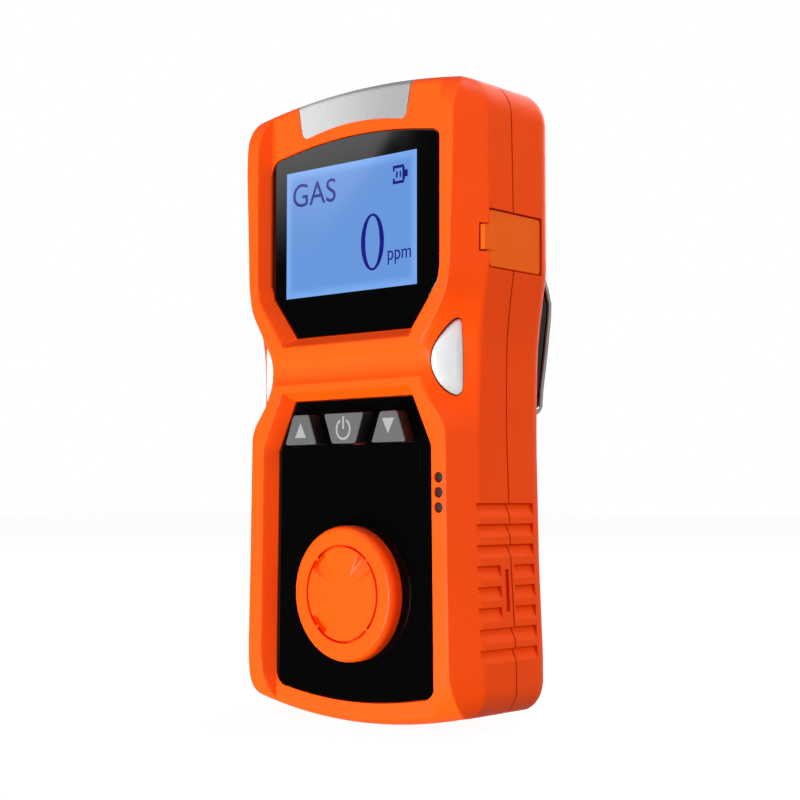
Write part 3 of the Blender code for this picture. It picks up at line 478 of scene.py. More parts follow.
def membranePaint():
    sheet = Sheet("filterMembrane")
    threads = sheet.noise(3000.0, 5.0, 0.7)
    colour = sheet.mix(threads, (0.66, 0.66, 0.63), (0.86, 0.86, 0.84))
    return sheet.paint(colour=colour, rough=0.92, normal=sheet.bump(threads, 0.5, 0.00005), gloss=0.15)


def wrapPaint():
    # battery in shrink film: a seam line and soft wrinkles
    sheet = Sheet("batteryFilm")
    x, y, z = sheet.axes()
    wrinkle = sheet.noise(260.0, 3.0, 0.6, sheet.coords((1, 1, 0.2)))
    band = sheet.ramp(z, 0.0994, 0.0997) - sheet.ramp(z, 0.1012, 0.1015)
    colour = sheet.mix(band, sheet.mix(wrinkle, (0.05, 0.14, 0.38), (0.07, 0.18, 0.46)), (0.7, 0.7, 0.7))
    return sheet.paint(colour=colour, rough=0.25 + wrinkle * 0.2, normal=sheet.bump(wrinkle, 0.35, 0.0002))


def flexPaint():
    sheet = Sheet("flexFilm")
    x, y, z = sheet.axes()
    stripe = x.zigzag(0.0003)
    colour = sheet.mix(sheet.ramp(stripe, 0.45, 0.55), (0.42, 0.2, 0.035), (0.62, 0.34, 0.08))
    return sheet.paint(colour=colour, rough=0.3 + sheet.noise(600.0) * 0.15)


labelForm = {"middle": 0.0309, "rowPitch": 0.0016}


def labelPaint():
    # printed film: a ruled table with blocks of fine dashes in place of print
    sheet = Sheet("labelFilm")
    x, y, z = sheet.axes()
    across = x.size()
    upward = (z - labelForm["middle"]).size()
    upright = (across > 0.0136) * (across < 0.0139) * (upward < 0.0149)
    level = (upward > 0.0146) * (upward < 0.0149) * (across < 0.0139)
    frameLine = upright.highest(level)
    row = (z - footRise / 1000).zigzag(labelForm["rowPitch"])
    words = sheet.node("ShaderNodeTexNoise", {"noise_dimensions": "3D"},
                       {"Vector": sheet.coords((1, 0.01, 0.02)), "Scale": 1500.0, "Detail": 1.0})[0]
    dash = (row > 0.6) * (row < 0.85) * (words > 0.47) * (across < 0.0122) * (upward < 0.013)
    ink = frameLine.highest(dash)
    brushed = sheet.noise(700.0, 3.0, 0.5, sheet.coords((0.05, 1, 1)))
    film = sheet.mix(brushed, (0.56, 0.56, 0.57), (0.68, 0.68, 0.69))
    colour = sheet.mix(ink * 0.85, film, (0.05, 0.05, 0.055))
    return sheet.paint(colour=colour, rough=0.38 + brushed * 0.12, normal=sheet.bump(brushed, 0.1, 0.00002))


paints = {
    "shell": mouldedPlastic("caseOrange", shellLook),
    "cap": mouldedPlastic("capOrange", capLook),
    "flap": mouldedPlastic("flapOrange", flapLook),
    "black": mouldedPlastic("mouldedBlack", blackMouldLook),
    "rubber": mouldedPlastic("rubberBlack", rubberLook),
    "shadedKeySide": mouldedPlastic("shadedKeySkirt", shadedKeySideLook),
    "keyFace": mouldedPlastic("keyFace", keyFaceLook),
    "keyMark": mouldedPlastic("keyMark", keyMarkLook),
    "white": mouldedPlastic("whitePlastic", whitePlasticLook),
    "window": lightWindowPaint(),
    "sideWindow": sideWindowPaint(),
    "glass": glassPaint("displayGlass", 0.0008, 0.5),
    "panel": glassPaint("panelGloss", 0.001, 0.12),
    "screen": screenPaint(),
    "ink": screenInkPaint(),
    "steel": steelPaint("brushedSteel", steelLook),
    "plainSteel": steelPaint("platedSteel", plainSteelLook),
    "can": steelPaint("sensorCan", canLook),
    "board": boardPaint(),
    "membrane": membranePaint(),
    "wrap": wrapPaint(),
    "flex": flexPaint(),
    "label": labelPaint(),
}
print("finishes made:", len(paints))


# --- the case's form

form = {
    "top": 120.5, "foot": -0.9, "rowTop": 119.8, "depth": 27.0, "wall": 2.2,
    "cavityFront": 5.9, "cavityBack": 25.0,
    "levels": (12, 30, 50, 54.5, 60.5, 63.2, 66.2, 69.2, 73, 78.5, 83.5, 90, 106),
    "rimHalf": (25.8, 25.4, 25.1, 25.0, 20.4, 18.8, 18.6, 18.9, 22.0, 25.4, 26.2, 26.4, 27.0),
    "sideHalf": (29.0, 28.2, 27.8, 27.8, 27.9, 28.0, 28.1, 28.2, 28.6, 29.4, 30.3, 30.3, 30.3),
    "topRadius": 160.0, "bottomRadius": 115.0, "topCorner": (24.0, 111.7), "bottomCorner": (24.5, 7.0),
    "chamferDepth": 6.4, "edgeRound": 1.7, "bowDepth": 5.0, "bowHeight": 9.0, "backRound": 5.0,
    "panelDepth": 2.5, "pocketDepth": 3.9,
    "floorLevels": (0, 9, 50.6, 60.4, 72.6, 80.9, 84, 120),
    "floorHalf": (20.4, 20.4, 19.9, 15.2, 14.9, 21.4, 22.3, 22.3),
    "crestLevels": (0, 8, 51, 62, 70.8, 80.6, 83.5, 120),
    "crestHalf": (22.4, 22.3, 21.8, 16.6, 16.4, 23.4, 23.8, 23.9),
    "upperSill": (70.8, 72.6), "lowerLintel": (62.0, 60.4),
    "grooveRadius": 4.4, "grooveDepth": 1.1, "grooveZ": 66.3,
    "partingBottom": 15.7, "partingTop": 12.8,
    "backCorners": ((24.0, 111.7, 6.3, 0.9), (24.5, 7.0, 4.4, 0.83)),
}


def between(levels, values, z):
    if z <= levels[0]:
        return values[0]
    for index in range(1, len(levels)):
        if z <= levels[index]:
            share = (z - levels[index - 1]) / (levels[index] - levels[index - 1])
            return values[index - 1] + share * (values[index] - values[index - 1])
    return values[-1]


def flowing(levels, values, z, reach=1.6):
    # the same with its corners eased
    steps = (-1.0, -0.6, -0.2, 0.2, 0.6, 1.0)
    return sum(between(levels, values, z + step * reach) for step in steps) / len(steps)


def arcDrop(x, radius):
    return radius - sqrt(radius * radius - x * x)


def cornerShare(z):
    # how far the case's outline has turned in at height z, 1 on the straight sides and 0 at the ends
    topZ = form["topCorner"][1]
    topReach = form["top"] - arcDrop(form["topCorner"][0], form["topRadius"]) - topZ
    lowZ = form["bottomCorner"][1]
    lowReach = lowZ - form["foot"] - arcDrop(form["bottomCorner"][0], form["bottomRadius"])
    if z > topZ:
        return sqrt(max(0.0, 1 - ((z - topZ) / topReach) ** 2))
    if z < lowZ:
        return sqrt(max(0.0, 1 - ((lowZ - z) / lowReach) ** 2))
    return 1.0


def turnedIn(half, z):
    if z > form["topCorner"][1]:
        return form["topCorner"][0] + (half - form["topCorner"][0]) * cornerShare(z)
    if z < form["bottomCorner"][1]:
        return form["bottomCorner"][0] + (half - form["bottomCorner"][0]) * cornerShare(z)
    return half


def outlineTop(x, half):
    cornerX, cornerZ = form["topCorner"]
    if abs(x) <= cornerX:
        return form["top"] - arcDrop(x, form["topRadius"])
    reach = form["top"] - arcDrop(cornerX, form["topRadius"]) - cornerZ
    return cornerZ + reach * sqrt(max(0.0, 1 - ((abs(x) - cornerX) / (half - cornerX)) ** 2))


def outlineFoot(x, half):
    cornerX, cornerZ = form["bottomCorner"]
    if abs(x) <= cornerX:
        return form["foot"] + arcDrop(x, form["bottomRadius"])
    reach = cornerZ - form["foot"] - arcDrop(cornerX, form["bottomRadius"])
    return cornerZ - reach * sqrt(max(0.0, 1 - ((abs(x) - cornerX) / (half - cornerX)) ** 2))


def softMax(a, b, reach):
    share = min(1.0, max(0.0, 0.5 + 0.5 * (a - b) / reach))
    return b + (a - b) * share + reach * share * (1 - share) * 0.5


def softMin(a, b, reach):
    return -softMax(-a, -b, reach)


def bowDepth(x, z):
    # how far the front falls back towards the top and bottom edges
    depth = -4.0
    for centre, radius in ((form["top"] - form["topRadius"], form["topRadius"]),
                           (form["foot"] + form["bottomRadius"], form["bottomRadius"])):
        if (z > 60) != (centre < 60):
            continue
        inward = radius - hypot(x, z - centre)
        share = 1 - inward / form["bowHeight"]
        if share <= 0:
            depth = max(depth, share * 1.0)
        else:
            depth = max(depth, form["bowDepth"] * (1 - sqrt(max(0.0, 1 - min(share, 1.0) ** 2))))
    return depth


def recessDepth(x, z):
    # the two recesses: walls that slope in to the panels
    crest = between(form["crestLevels"], form["crestHalf"], z)
    floor = between(form["floorLevels"], form["floorHalf"], z)
    side = form["panelDepth"] * (crest - x) / (crest - floor)
    sillTop, sillFoot = form["upperSill"]
    lintelTop, lintelFoot = form["lowerLintel"]
    upper = form["panelDepth"] * (z - sillTop) / (sillFoot - sillTop)
    lower = form["panelDepth"] * (lintelTop - z) / (lintelTop - lintelFoot)
    ends = max(upper, lower)
    return min(softMin(side, ends, 0.5), form["panelDepth"])


def chamferDepth(x, z):
    rim = turnedIn(flowing(form["levels"], form["rimHalf"], z), z)
    side = turnedIn(flowing(form["levels"], form["sideHalf"], z), z)
    width = max(side - rim, 0.3)
    slope = form["chamferDepth"] / width
    lean = atan(slope)
    radius = form["edgeRound"]
    run = radius * tan((pi / 2 - lean) / 2)
    if x > side - run * cos(lean):
        reach = min(1.0, max(0.0, (x - (side - radius)) / radius))
        return form["chamferDepth"] + run - radius * sqrt(max(0.0, 1 - reach * reach))
    return slope * (x - rim) if x < side else form["chamferDepth"]


def frontDepth(x, z):
    x = abs(x)
    fall = abs(z - form["grooveZ"])
    groove = -4.0
    if fall < form["grooveRadius"]:
        groove = form["grooveDepth"] - form["grooveRadius"] + sqrt(form["grooveRadius"] ** 2 - fall ** 2)
    depth = softMax(0.0, groove, 0.12)
    depth = softMax(depth, recessDepth(x, z), 0.5)
    depth = softMax(depth, chamferDepth(x, z), 0.5)
    return softMax(depth, bowDepth(x, z), 0.5)


def backDepth(x, z):
    side = flowing(form["levels"], form["sideHalf"], z)
    x = abs(x)
    inward = side - x
    for cornerX, cornerZ, reach, squash in form["backCorners"]:
        above = (z - cornerZ if cornerZ > 60 else cornerZ - z) * squash
        if above > 0 and x > cornerX:
            inward = min(inward, reach - hypot(x - cornerX, above))
    if x <= form["topCorner"][0] or z < 60:
        if z > 60:
            inward = min(inward, form["topRadius"] - hypot(x, z - form["top"] + form["topRadius"]))
        elif x <= form["bottomCorner"][0]:
            inward = min(inward, form["bottomRadius"] - hypot(x, z - form["foot"] - form["bottomRadius"]))
    share = min(1.0, max(0.0, 1 - inward / form["backRound"]))
    return form["depth"] - form["backRound"] * (1 - sqrt(1 - share * share))


def partingDepth(z):
    slope = (form["partingTop"] - form["partingBottom"]) / (form["top"] - form["foot"])
    return form["partingBottom"] + slope * z


def halfColumns(front):
    # (stretch, share) of each column of the mesh: floor line, crest line, rim line, side line
    if not front:
        rounding = [(3, sin(step * pi / 24)) for step in range(1, 13)]
        return [(0, step / 20) for step in range(21)] + [(1, 0.5), (1, 1.0), (2, 0.5), (2, 1.0)] + rounding
    columns = [(0, step / 24) for step in range(24)]
    columns += [(1, step / 7) for step in range(7)]
    columns += [(2, step / 9) for step in range(9)]
    return columns + [(3, sin(step * pi / 40)) for step in range(21)]


def rowHeights(fine):
    heights = [9 * (1 - cos(step * pi / 32)) for step in range(16)]
    z = 9.0
    while z < 110.8:
        heights.append(z)
        z += fine if 58 < z < 75 else 0.55
    return heights + [form["rowTop"] - 9 * (1 - cos(step * pi / 32)) for step in range(16, -1, -1)]


def skinPatch(front):
    # a grid laid over the case's outline, with its lines along the case's creases
    half = halfColumns(front)
    rows = rowHeights(0.2 if front else 0.8)
    wide, tall = 2 * (len(half) - 1), len(rows) - 1
    bm = bmesh.new()
    bmesh.ops.create_grid(bm, x_segments=wide, y_segments=tall, size=1)
    for vert in bm.verts:
        column = round((vert.co.x + 1) / 2 * wide) - (len(half) - 1)
        row = rows[round((vert.co.y + 1) / 2 * tall)]
        stretch, share = half[abs(column)]
        lines = [0.0, between(form["floorLevels"], form["floorHalf"], row),
                 between(form["crestLevels"], form["crestHalf"], row),
                 flowing(form["levels"], form["rimHalf"], row),
                 flowing(form["levels"], form["sideHalf"], row)]
        x = lines[stretch] + (lines[stretch + 1] - lines[stretch]) * share
        z = row
        if row > 106:
            z = 106 + (row - 106) * (outlineTop(x, lines[4]) - 106) / (form["rowTop"] - 106)
        elif row < 12:
            z = 12 - (12 - row) * (12 - outlineFoot(x, lines[4])) / 12
        depth = frontDepth(x, z) if front else backDepth(x, z)
        vert.co = (x if column >= 0 else -x, depth, z)
    return bm


def extrudeRim(bm, edges, place):
    # grow the open rim by one band; place gives each new corner's position from its old one
    grown = bmesh.ops.extrude_edge_only(bm, edges=edges)["geom"]
    for item in grown:
        if isinstance(item, bmesh.types.BMVert):
            item.co = place(item)
    return [item for item in grown if isinstance(item, bmesh.types.BMEdge) and item.is_boundary]


def outwardNormals(edges):
    # the outline's outward direction at each corner of a rim
    normals = {}
    for edge in edges:
        a, b = edge.verts
        along = Vector((b.co.x - a.co.x, b.co.z - a.co.z))
        side = Vector((along.y, -along.x)).normalized()
        middle = Vector(((a.co.x + b.co.x) / 2, (a.co.z + b.co.z) / 2 - 60))
        if side.dot(middle) < 0:
            side = -side
        for vert in (a, b):
            normals[vert] = normals.get(vert, Vector((0, 0))) + side
    return {(round(v.co.x, 3), round(v.co.z, 3)): n.normalized() for v, n in normals.items()}


def shellSolid(front):
    # outer skin, side band to the parting line, then the inner wall and its floor
    bm = skinPatch(front)
    bmesh.ops.remove_doubles(bm, verts=bm.verts, dist=0.0005)
    rim = [edge for edge in bm.edges if edge.is_boundary]
    normals = outwardNormals(rim)
    offset = -0.15 if front else 0.15
    for share in (0.25, 0.5, 0.75, 1.0):
        def band(vert, share=share):
            end = partingDepth(vert.co.z) + offset
            return Vector((vert.co.x, vert.co.y + (end - vert.co.y) * share, vert.co.z))
        rim = extrudeRim(bm, rim, band)

    def inward(vert, amount):
        way = normals.get((round(vert.co.x, 3), round(vert.co.z, 3)))
        return Vector((vert.co.x - way.x * amount, vert.co.y, vert.co.z - way.y * amount))

    rim = extrudeRim(bm, rim, lambda vert: inward(vert, form["wall"]))
    floor = form["cavityFront"] if front else form["cavityBack"]
    rim = extrudeRim(bm, rim, lambda vert: Vector((vert.co.x, floor, vert.co.z)))
    bmesh.ops.holes_fill(bm, edges=rim, sides=0)
    return bm


# --- outlines of the panels and windows

panelForm = {"round": 3.0, "upperRoundZ": 106.4, "upperTop": 111.2, "lowerRoundZ": 7.7, "lowerFoot": 3.1}


def upperOutline(inset=0.0):
    half = [(14.9 - inset * 0.6, 72.6 + inset), (21.4 - inset, 80.9 + inset * 0.4), (22.3 - inset, 84.0)]
    roundX, radius = 22.3 - panelForm["round"], panelForm["round"] - inset
    for step in range(11):
        angle = step * pi / 20
        half.append((roundX + radius * cos(angle), panelForm["upperRoundZ"] + radius * sin(angle)))
    for step in range(9, -1, -1):
        x = roundX * (step + 0.5) / 10
        half.append((x, panelForm["upperTop"] - inset - 1.8 * (x / roundX) ** 2))
    return bothSides(half)


def lowerOutline(inset=0.0):
    half = [(15.2 - inset * 0.6, 60.4 - inset), (19.9 - inset, 50.6 - inset * 0.2), (20.4 - inset, 9.0)]
    roundX, radius = 20.4 - panelForm["round"], panelForm["round"] - inset
    for step in range(1, 11):
        angle = step * pi / 20
        half.append((roundX + radius * cos(angle), panelForm["lowerRoundZ"] - radius * sin(angle)))
    for step in range(9, -1, -1):
        x = roundX * (step + 0.5) / 10
        half.append((x, panelForm["lowerFoot"] + inset + 1.6 * (x / roundX) ** 2))
    return bothSides(half)


topWindowForm = {"foot": 113.75, "arch": 1.35, "archHalf": 12.4, "cornerX": 12.3, "cornerZ": 114.0,
                 "cornerWide": 1.55, "widen": 1.1, "top": 119.3, "thick": 1.2}


def windowFoot(x):
    # the window's lower edge: a shallow arch that turns up round its corners
    f = topWindowForm
    if x <= f["cornerX"]:
        return f["foot"] - f["arch"] * (x / f["archHalf"]) ** 2
    tall = f["cornerZ"] - windowFoot(f["cornerX"])
    return f["cornerZ"] - tall * sqrt(max(0.0, 1 - ((x - f["cornerX"]) / f["cornerWide"]) ** 2))


def topWindowOutline(grow=0.0):
    f = topWindowForm
    half = [(f["cornerX"] * (step + 0.5) / 9, windowFoot(f["cornerX"] * (step + 0.5) / 9) - grow)
            for step in range(9)]
    for step in range(7):
        turn = step * pi / 12
        x = f["cornerX"] + f["cornerWide"] * sin(turn)
        half.append((x + grow * sin(turn), windowFoot(x) - grow * cos(turn)))
    slope = f["widen"] / (f["top"] - f["cornerZ"])
    half.append((f["cornerX"] + f["cornerWide"] + grow + slope * (122 - f["cornerZ"]), 122.0))
    return bothSides(half)


keyForm = {"z": 54.55, "spread": 11.4, "back": 3.2, "round": 0.6, "lip": 0.32,
           "outer": ((-4.3, -2.9), (4.3, -2.9), (2.1, 2.9), (-2.1, 2.9)),
           "middle": ((-3.1, -2.9), (3.1, -2.9), (5.2, 2.9), (-5.2, 2.9))}
capForm = {"z": 23.4, "radius": 12.8, "face": 11.7, "proud": 0.4, "edgeRound": 1.5,
           "slot": 9.0, "slotWidth": 0.5,
           "slotDeep": 1.5, "reach": 43.4, "spigot": 9.9, "bore": 9.3, "dimple": 0.9}
buzzerHoles = {"x": 23.5, "z": (39.65, 42.35, 45.05), "radius": 1.0}
gripForm = {"rows": 8, "top": 40.4, "pitch": 3.75, "height": 2.6, "deep": 1.0, "split": (3, 4, 5),
            "front": (5.6, 11.9), "rear": (15.9, 22.0), "slotY": (13.2, 14.2), "slotZ": (20.7, 28.4)}
flapForm = {"x": 30.3, "y": (6.7, 22.0), "z": (83.2, 93.6), "sunk": 0.25, "thick": 1.0, "tabFront": 5.0,
            "tabFlat": 1.6, "tabBack": 10.4, "tabHalf": 2.3, "hole": ((26.5, 13.9, 83.9), (29.2, 18.5, 93.3))}


def grownOutline(outline, amount):
    return [(x + (amount if x > 0 else -amount), z + (amount if z > 0 else -amount)) for x, z in outline]


def keyPlaces():
    return ((-keyForm["spread"], keyForm["outer"]), (0.0, keyForm["middle"]),
            (keyForm["spread"], keyForm["outer"]))


def gripCutters(side):
    cutters = []
    for row in range(gripForm["rows"]):
        top = gripForm["top"] - gripForm["pitch"] * row
        low = top - gripForm["height"]
        halfTop = flowing(form["levels"], form["sideHalf"], top)
        halfLow = flowing(form["levels"], form["sideHalf"], low)
        wedge = [(side * x, z) for x, z in ((halfTop - gripForm["deep"], top), (halfTop + 1.2, top),
                                           (halfLow + 1.2, low), (halfLow + 0.12, low))]
        whole = ((gripForm["front"][0], gripForm["rear"][1]),)
        for near, far in (gripForm["front"], gripForm["rear"]) if row in gripForm["split"] else whole:
            cutters.append(prism(wedge, near, far))
    low, high = sorted((side * 27.2, side * 29.5))
    cutters.append(block((low, gripForm["slotY"][0], gripForm["slotZ"][0]),
                         (high, gripForm["slotY"][1], gripForm["slotZ"][1])))
    return cutters


def waistFrame():
    # the slope in which the side windows lie: its start, its direction across and its outward normal
    rim = between(form["levels"], form["rimHalf"], 66.2)
    side = between(form["levels"], form["sideHalf"], 66.2)
    across = Vector((side - rim, form["chamferDepth"], 0)).normalized()
    return Vector((rim, 0, 0)) + across * 2.4, across, Vector((across.y, -across.x, 0))


sideWindowForm = {"middle": (3.9, 66.4), "soft": 1.3, "corners": (
    (0.0, 66.4), (0.45, 68.9), (2.2, 71.5), (4.1, 73.5), (5.3, 73.9), (5.9, 73.1), (5.9, 60.6), (4.8, 59.7),
    (3.1, 60.4), (1.45, 62.0), (0.3, 64.4))}


def sideWindowBlock(side, grow, rings):
    # closed rings one after another, each (share of the outline's size, height over the slope)
    start, across, normal = waistFrame()
    middle = Vector(sideWindowForm["middle"])
    grown = [tuple(Vector(p) + (Vector(p) - middle).normalized() * grow) for p in sideWindowForm["corners"]]
    outline = [Vector(point) for point in softened(grown, sideWindowForm["soft"], 5)]
    bm = bmesh.new()
    loops = []
    for share, height in rings:
        points = []
        for corner in outline:
            reach, z = middle + (corner - middle) * share
            place = start + across * reach + normal * height
            points.append((side * place.x, place.y, z))
        loops.append(loopOf(bm, points))
        if len(loops) > 1:
            bmesh.ops.bridge_loops(bm, edges=loops[-2] + loops[-1])
    bmesh.ops.holes_fill(bm, edges=loops[0] + loops[-1], sides=0)
    return bm


def flapPocket():
    return block((flapForm["x"] - 1.55, flapForm["y"][0] - 0.25, flapForm["z"][0] - 0.25),
                 (flapForm["x"] + 2, flapForm["y"][1] + 0.25, flapForm["z"][1] + 0.25))


def tabPocket():
    middle = (flapForm["z"][0] + flapForm["z"][1]) / 2
    half = flapForm["tabHalf"] + 0.3
    return block((28.2, flapForm["tabFront"] - 0.3, middle - half), (flapForm["x"] + 2, 7.0, middle + half))


def socketHole():
    return block(*flapForm["hole"])


# --- the two shells

def frontShell():
    solid = shellSolid(True)
    first = [prism(upperOutline(), 1.0, form["pocketDepth"]), prism(lowerOutline(), 1.0, form["pocketDepth"]),
             prism(topWindowOutline(0.16), -1.0, 10.0), flapPocket()]
    for side in (-1, 1):
        first.append(sideWindowBlock(side, 0.16, ((1.0, -5.0), (1.0, 4.0))))
        first += gripCutters(side)
    solid = combined(solid, gather(first))
    second = [block((-18, 3.0, 79.3), (18, 7.0, 107.7)), tabPocket(), socketHole(),
              rod(10.5, 3.0, 7.0, 0, capForm["z"], 48)]
    for place, outline in keyPlaces():
        moved = [(x + place, z + keyForm["z"]) for x, z in grownOutline(outline, 0.3)]
        second.append(prism(moved, 3.0, 7.0))
    for z in buzzerHoles["z"]:
        second.append(rod(buzzerHoles["radius"], -1.0, 7.0, buzzerHoles["x"], z, 28))
    solid = combined(solid, gather(second))
    return finishPiece("frontCase", solid, "case", [paints["shell"]], ["front_shell"], 32.0)


def buzzerHoleShade():
    # dark discs a little way down the sound holes: painted shade that makes the holes look deep and dark
    discs = [rod(buzzerHoles["radius"] - 0.02, 0.55, 0.95, buzzerHoles["x"], z, 28) for z in buzzerHoles["z"]]
    finishPiece("buzzerHoleShade", gather(discs), "case", [paints["black"]])


screwPlaces = ((-22, 9.4), (22, 9.4), (-21, 111.6), (21, 111.6))


def rearShell():
    solid = shellSolid(False)
    pad = rounded(block((-18, 26.0, 55.0), (18, 28.5, 92.0)), 0.7, 3)
    solid = combined(solid, gather([pad] + [rod(2.8, 16.2, 25.6, x, z, 28) for x, z in screwPlaces]), "UNION")
    cutters = [block((-15.2, 26.6, 14.0), (15.2, 28.0, 46.0)), flapPocket(), socketHole()]
    cutters += [rod(1.2, 24.0, 29.5, 0, z, 20) for z in (60.5, 88.0)]
    cutters += [rod(2.4, 22.5, 28.5, x, z, 28) for x, z in screwPlaces]
    for side in (-1, 1):
        cutters += gripCutters(side)
    solid = combined(solid, gather(cutters))
    solid = combined(solid, gather([rod(1.4, 15.0, 23.5, x, z, 20) for x, z in screwPlaces]))
    return finishPiece("rearCase", solid, "case", [paints["shell"]], ["rear_shell"], 32.0)


frontShell()
buzzerHoleShade()
print("front case made")
rearShell()
print("rear case made")


# --- display and its marks

def displayWindow():
    sheet = rounded(prism(upperOutline(0.2), 2.6, 3.7), 0.18, 3, 60)
    finishPiece("displayWindow", sheet, "case", [paints["glass"]], ["display_lens"], 50)
    left, right = (screenLook["middle"] + side * screenLook["half"] for side in (-1, 1))
    screen = block((left, 2.57, screenLook["low"]), (right, 2.75, screenLook["high"]))
    finishPiece("displayScreen", screen, "case", [paints["screen"]])


def textSolid(words, size, stretch):
    # flat letters with a little thickness, their lower left corner at the origin of x and z
    curve = bpy.data.curves.new("words", "FONT")
    curve.body = words
    curve.size = size
    curve.extrude = 0.01
    thing = bpy.data.objects.new("words", curve)
    bpy.context.scene.collection.objects.link(thing)
    bpy.context.view_layer.update()
    mesh = bpy.data.meshes.new_from_object(thing.evaluated_get(bpy.context.evaluated_depsgraph_get()))
    bm = bmesh.new()
    bm.from_mesh(mesh)
    bpy.data.objects.remove(thing)
    bpy.data.meshes.remove(mesh)
    low = Vector([min(v.co[axis] for v in bm.verts) for axis in range(3)])
    bmesh.ops.translate(bm, vec=-low, verts=bm.verts)
    bmesh.ops.rotate(bm, matrix=Matrix.Rotation(pi / 2, 3, "X"), verts=bm.verts)
    bmesh.ops.scale(bm, vec=(stretch, 1, 1), verts=bm.verts)
    bmesh.ops.remove_doubles(bm, verts=bm.verts, dist=0.0005)
    return bm


def fitted(bm, low, high, y):
    # scale a flat shape into a rectangle of x and z and lay it at depth y
    lows = [min(v.co[axis] for v in bm.verts) for axis in (0, 2)]
    highs = [max(v.co[axis] for v in bm.verts) for axis in (0, 2)]
    nearest = min(v.co.y for v in bm.verts)
    bmesh.ops.translate(bm, vec=(-lows[0], -nearest, -lows[1]), verts=bm.verts)
    scale = ((high[0] - low[0]) / (highs[0] - lows[0]), 1, (high[1] - low[1]) / (highs[1] - lows[1]))
    bmesh.ops.scale(bm, vec=scale, verts=bm.verts)
    bmesh.ops.translate(bm, vec=(low[0], y, low[1]), verts=bm.verts)
    return bm


def ringShape(outer, inner, centre, near, far, gap=0.0):
    # a flat ring with its own widths across and upwards; gap is the width left out at the top
    x, z = centre
    turns = [step * pi / 36 for step in range(72)]
    whole, hole = ([(x + radius[0] * cos(turn), z + radius[1] * sin(turn)) for turn in turns]
                   for radius in (outer, inner))
    ring = combined(prism(whole, near, far), prism(hole, near - 1, far + 1))
    if gap:
        ring = combined(ring, block((x - gap / 2, near - 1, z), (x + gap / 2, far + 1, z + 9)))
    return ring


# the battery sign's bars: left, right, foot and top
chargeSign = ((10.3, 13.1, 100.1, 100.65), (10.3, 13.1, 103.05, 103.6), (12.7, 13.3, 100.66, 103.04),
              (13.31, 14.0, 101.2, 102.5), (11.1, 11.5, 101.25, 102.45), (12.0, 12.35, 101.25, 102.45),
              (10.3, 10.75, 100.66, 101.2), (10.3, 10.75, 102.5, 103.04))


def displayMarks():
    near, far = screenLook["marks"]
    zero = ringShape((2.95, 5.45), (1.85, 5.0), (5.1, 89.8), near, far)
    words = fitted(textSolid("GAS", 5, 1), (-16.3, 98.9), (-4.6, 103.5), near)
    unit = fitted(textSolid("ppm", 3, 1), (9.0, 85.0), (14.8, 87.7), near)
    cell = [block((left, near, low), (right, far, high)) for left, right, low, high in chargeSign]
    for name, bm in (("displayZero", zero), ("displayWord", words), ("displayUnit", unit),
                     ("displayCharge", gather(cell))):
        finishPiece(name, bm, "case", [paints["ink"]])


displayWindow()
displayMarks()
print("display made")


# --- key panel and keys

def keyPanel():
    sheet = prism(lowerOutline(0.2), 2.6, 3.7)
    cutters = [rod(10.4, 1.0, 5.0, 0, capForm["z"], 64)]
    for place, outline in keyPlaces():
        moved = [(x + place, z + keyForm["z"]) for x, z in softened(grownOutline(outline, 0.22), 0.7)]
        cutters.append(prism(moved, 1.0, 5.0))
    sheet = rounded(combined(sheet, gather(cutters)), 0.14, 2, 60)
    finishPiece("keyPanel", sheet, "case", [paints["panel"]], ["key_panel"], 50)


def keyCap(name, node, place, outline):
    shape = [(x + place, z + keyForm["z"]) for x, z in softened(outline, keyForm["round"], 5)]
    bm = prism(shape, 0.0, keyForm["back"])
    rounded(bm, keyForm["lip"], 4, 60, lambda edge: all(v.co.y < 0.01 for v in edge.verts))
    bmesh.ops.recalc_face_normals(bm, faces=bm.faces)
    # faces turned to the front take the lighter face paint and all others the darker skirt paint: painted
    # shade by facing
    for face in bm.faces:
        face.material_index = 0 if face.normal.y < -0.55 else 1
    finishPiece(name, bm, node, [paints["keyFace"], paints["shadedKeySide"]], [node], 50)


def keyMarks():
    near, far, z = -0.03, 0.02, keyForm["z"]
    spread = keyForm["spread"]
    up = prism([(-1.5 - spread, z - 1.55), (1.5 - spread, z - 1.55), (-spread, z + 1.35)], near, far)
    down = prism([(spread - 1.5, z + 1.55), (spread, z - 1.35), (spread + 1.5, z + 1.55)], near, far)
    power = gather([ringShape((1.95, 2.05), (1.5, 1.6), (0, z - 0.2), near, far, 1.5),
                    block((-0.22, near, z - 0.15), (0.22, far, z + 2.25))])
    for name, node, bm in (("keyMarkUp", "key_up", up), ("keyMarkPower", "key_power", power),
                           ("keyMarkDown", "key_down", down)):
        finishPiece(name, bm, node, [paints["keyMark"]])


keyPanel()
for (place, outline), node in zip(keyPlaces(), ("key_up", "key_power", "key_down")):
    keyCap(node.replace("key_", "keyCap_"), node, place, outline)
keyMarks()
print("keys made")


# --- sensor cap

def arcSlot(turn, radius, width, reach, near, far):
    outline = []
    steps = 20
    for edge, order in ((radius + width / 2, 1), (radius - width / 2, -1)):
        for step in range(steps + 1):
            angle = turn + radians(reach) * (2 * step / steps - 1) * order
            outline.append((edge * cos(angle), edge * sin(angle) + capForm["z"]))
    return prism(outline, near, far)


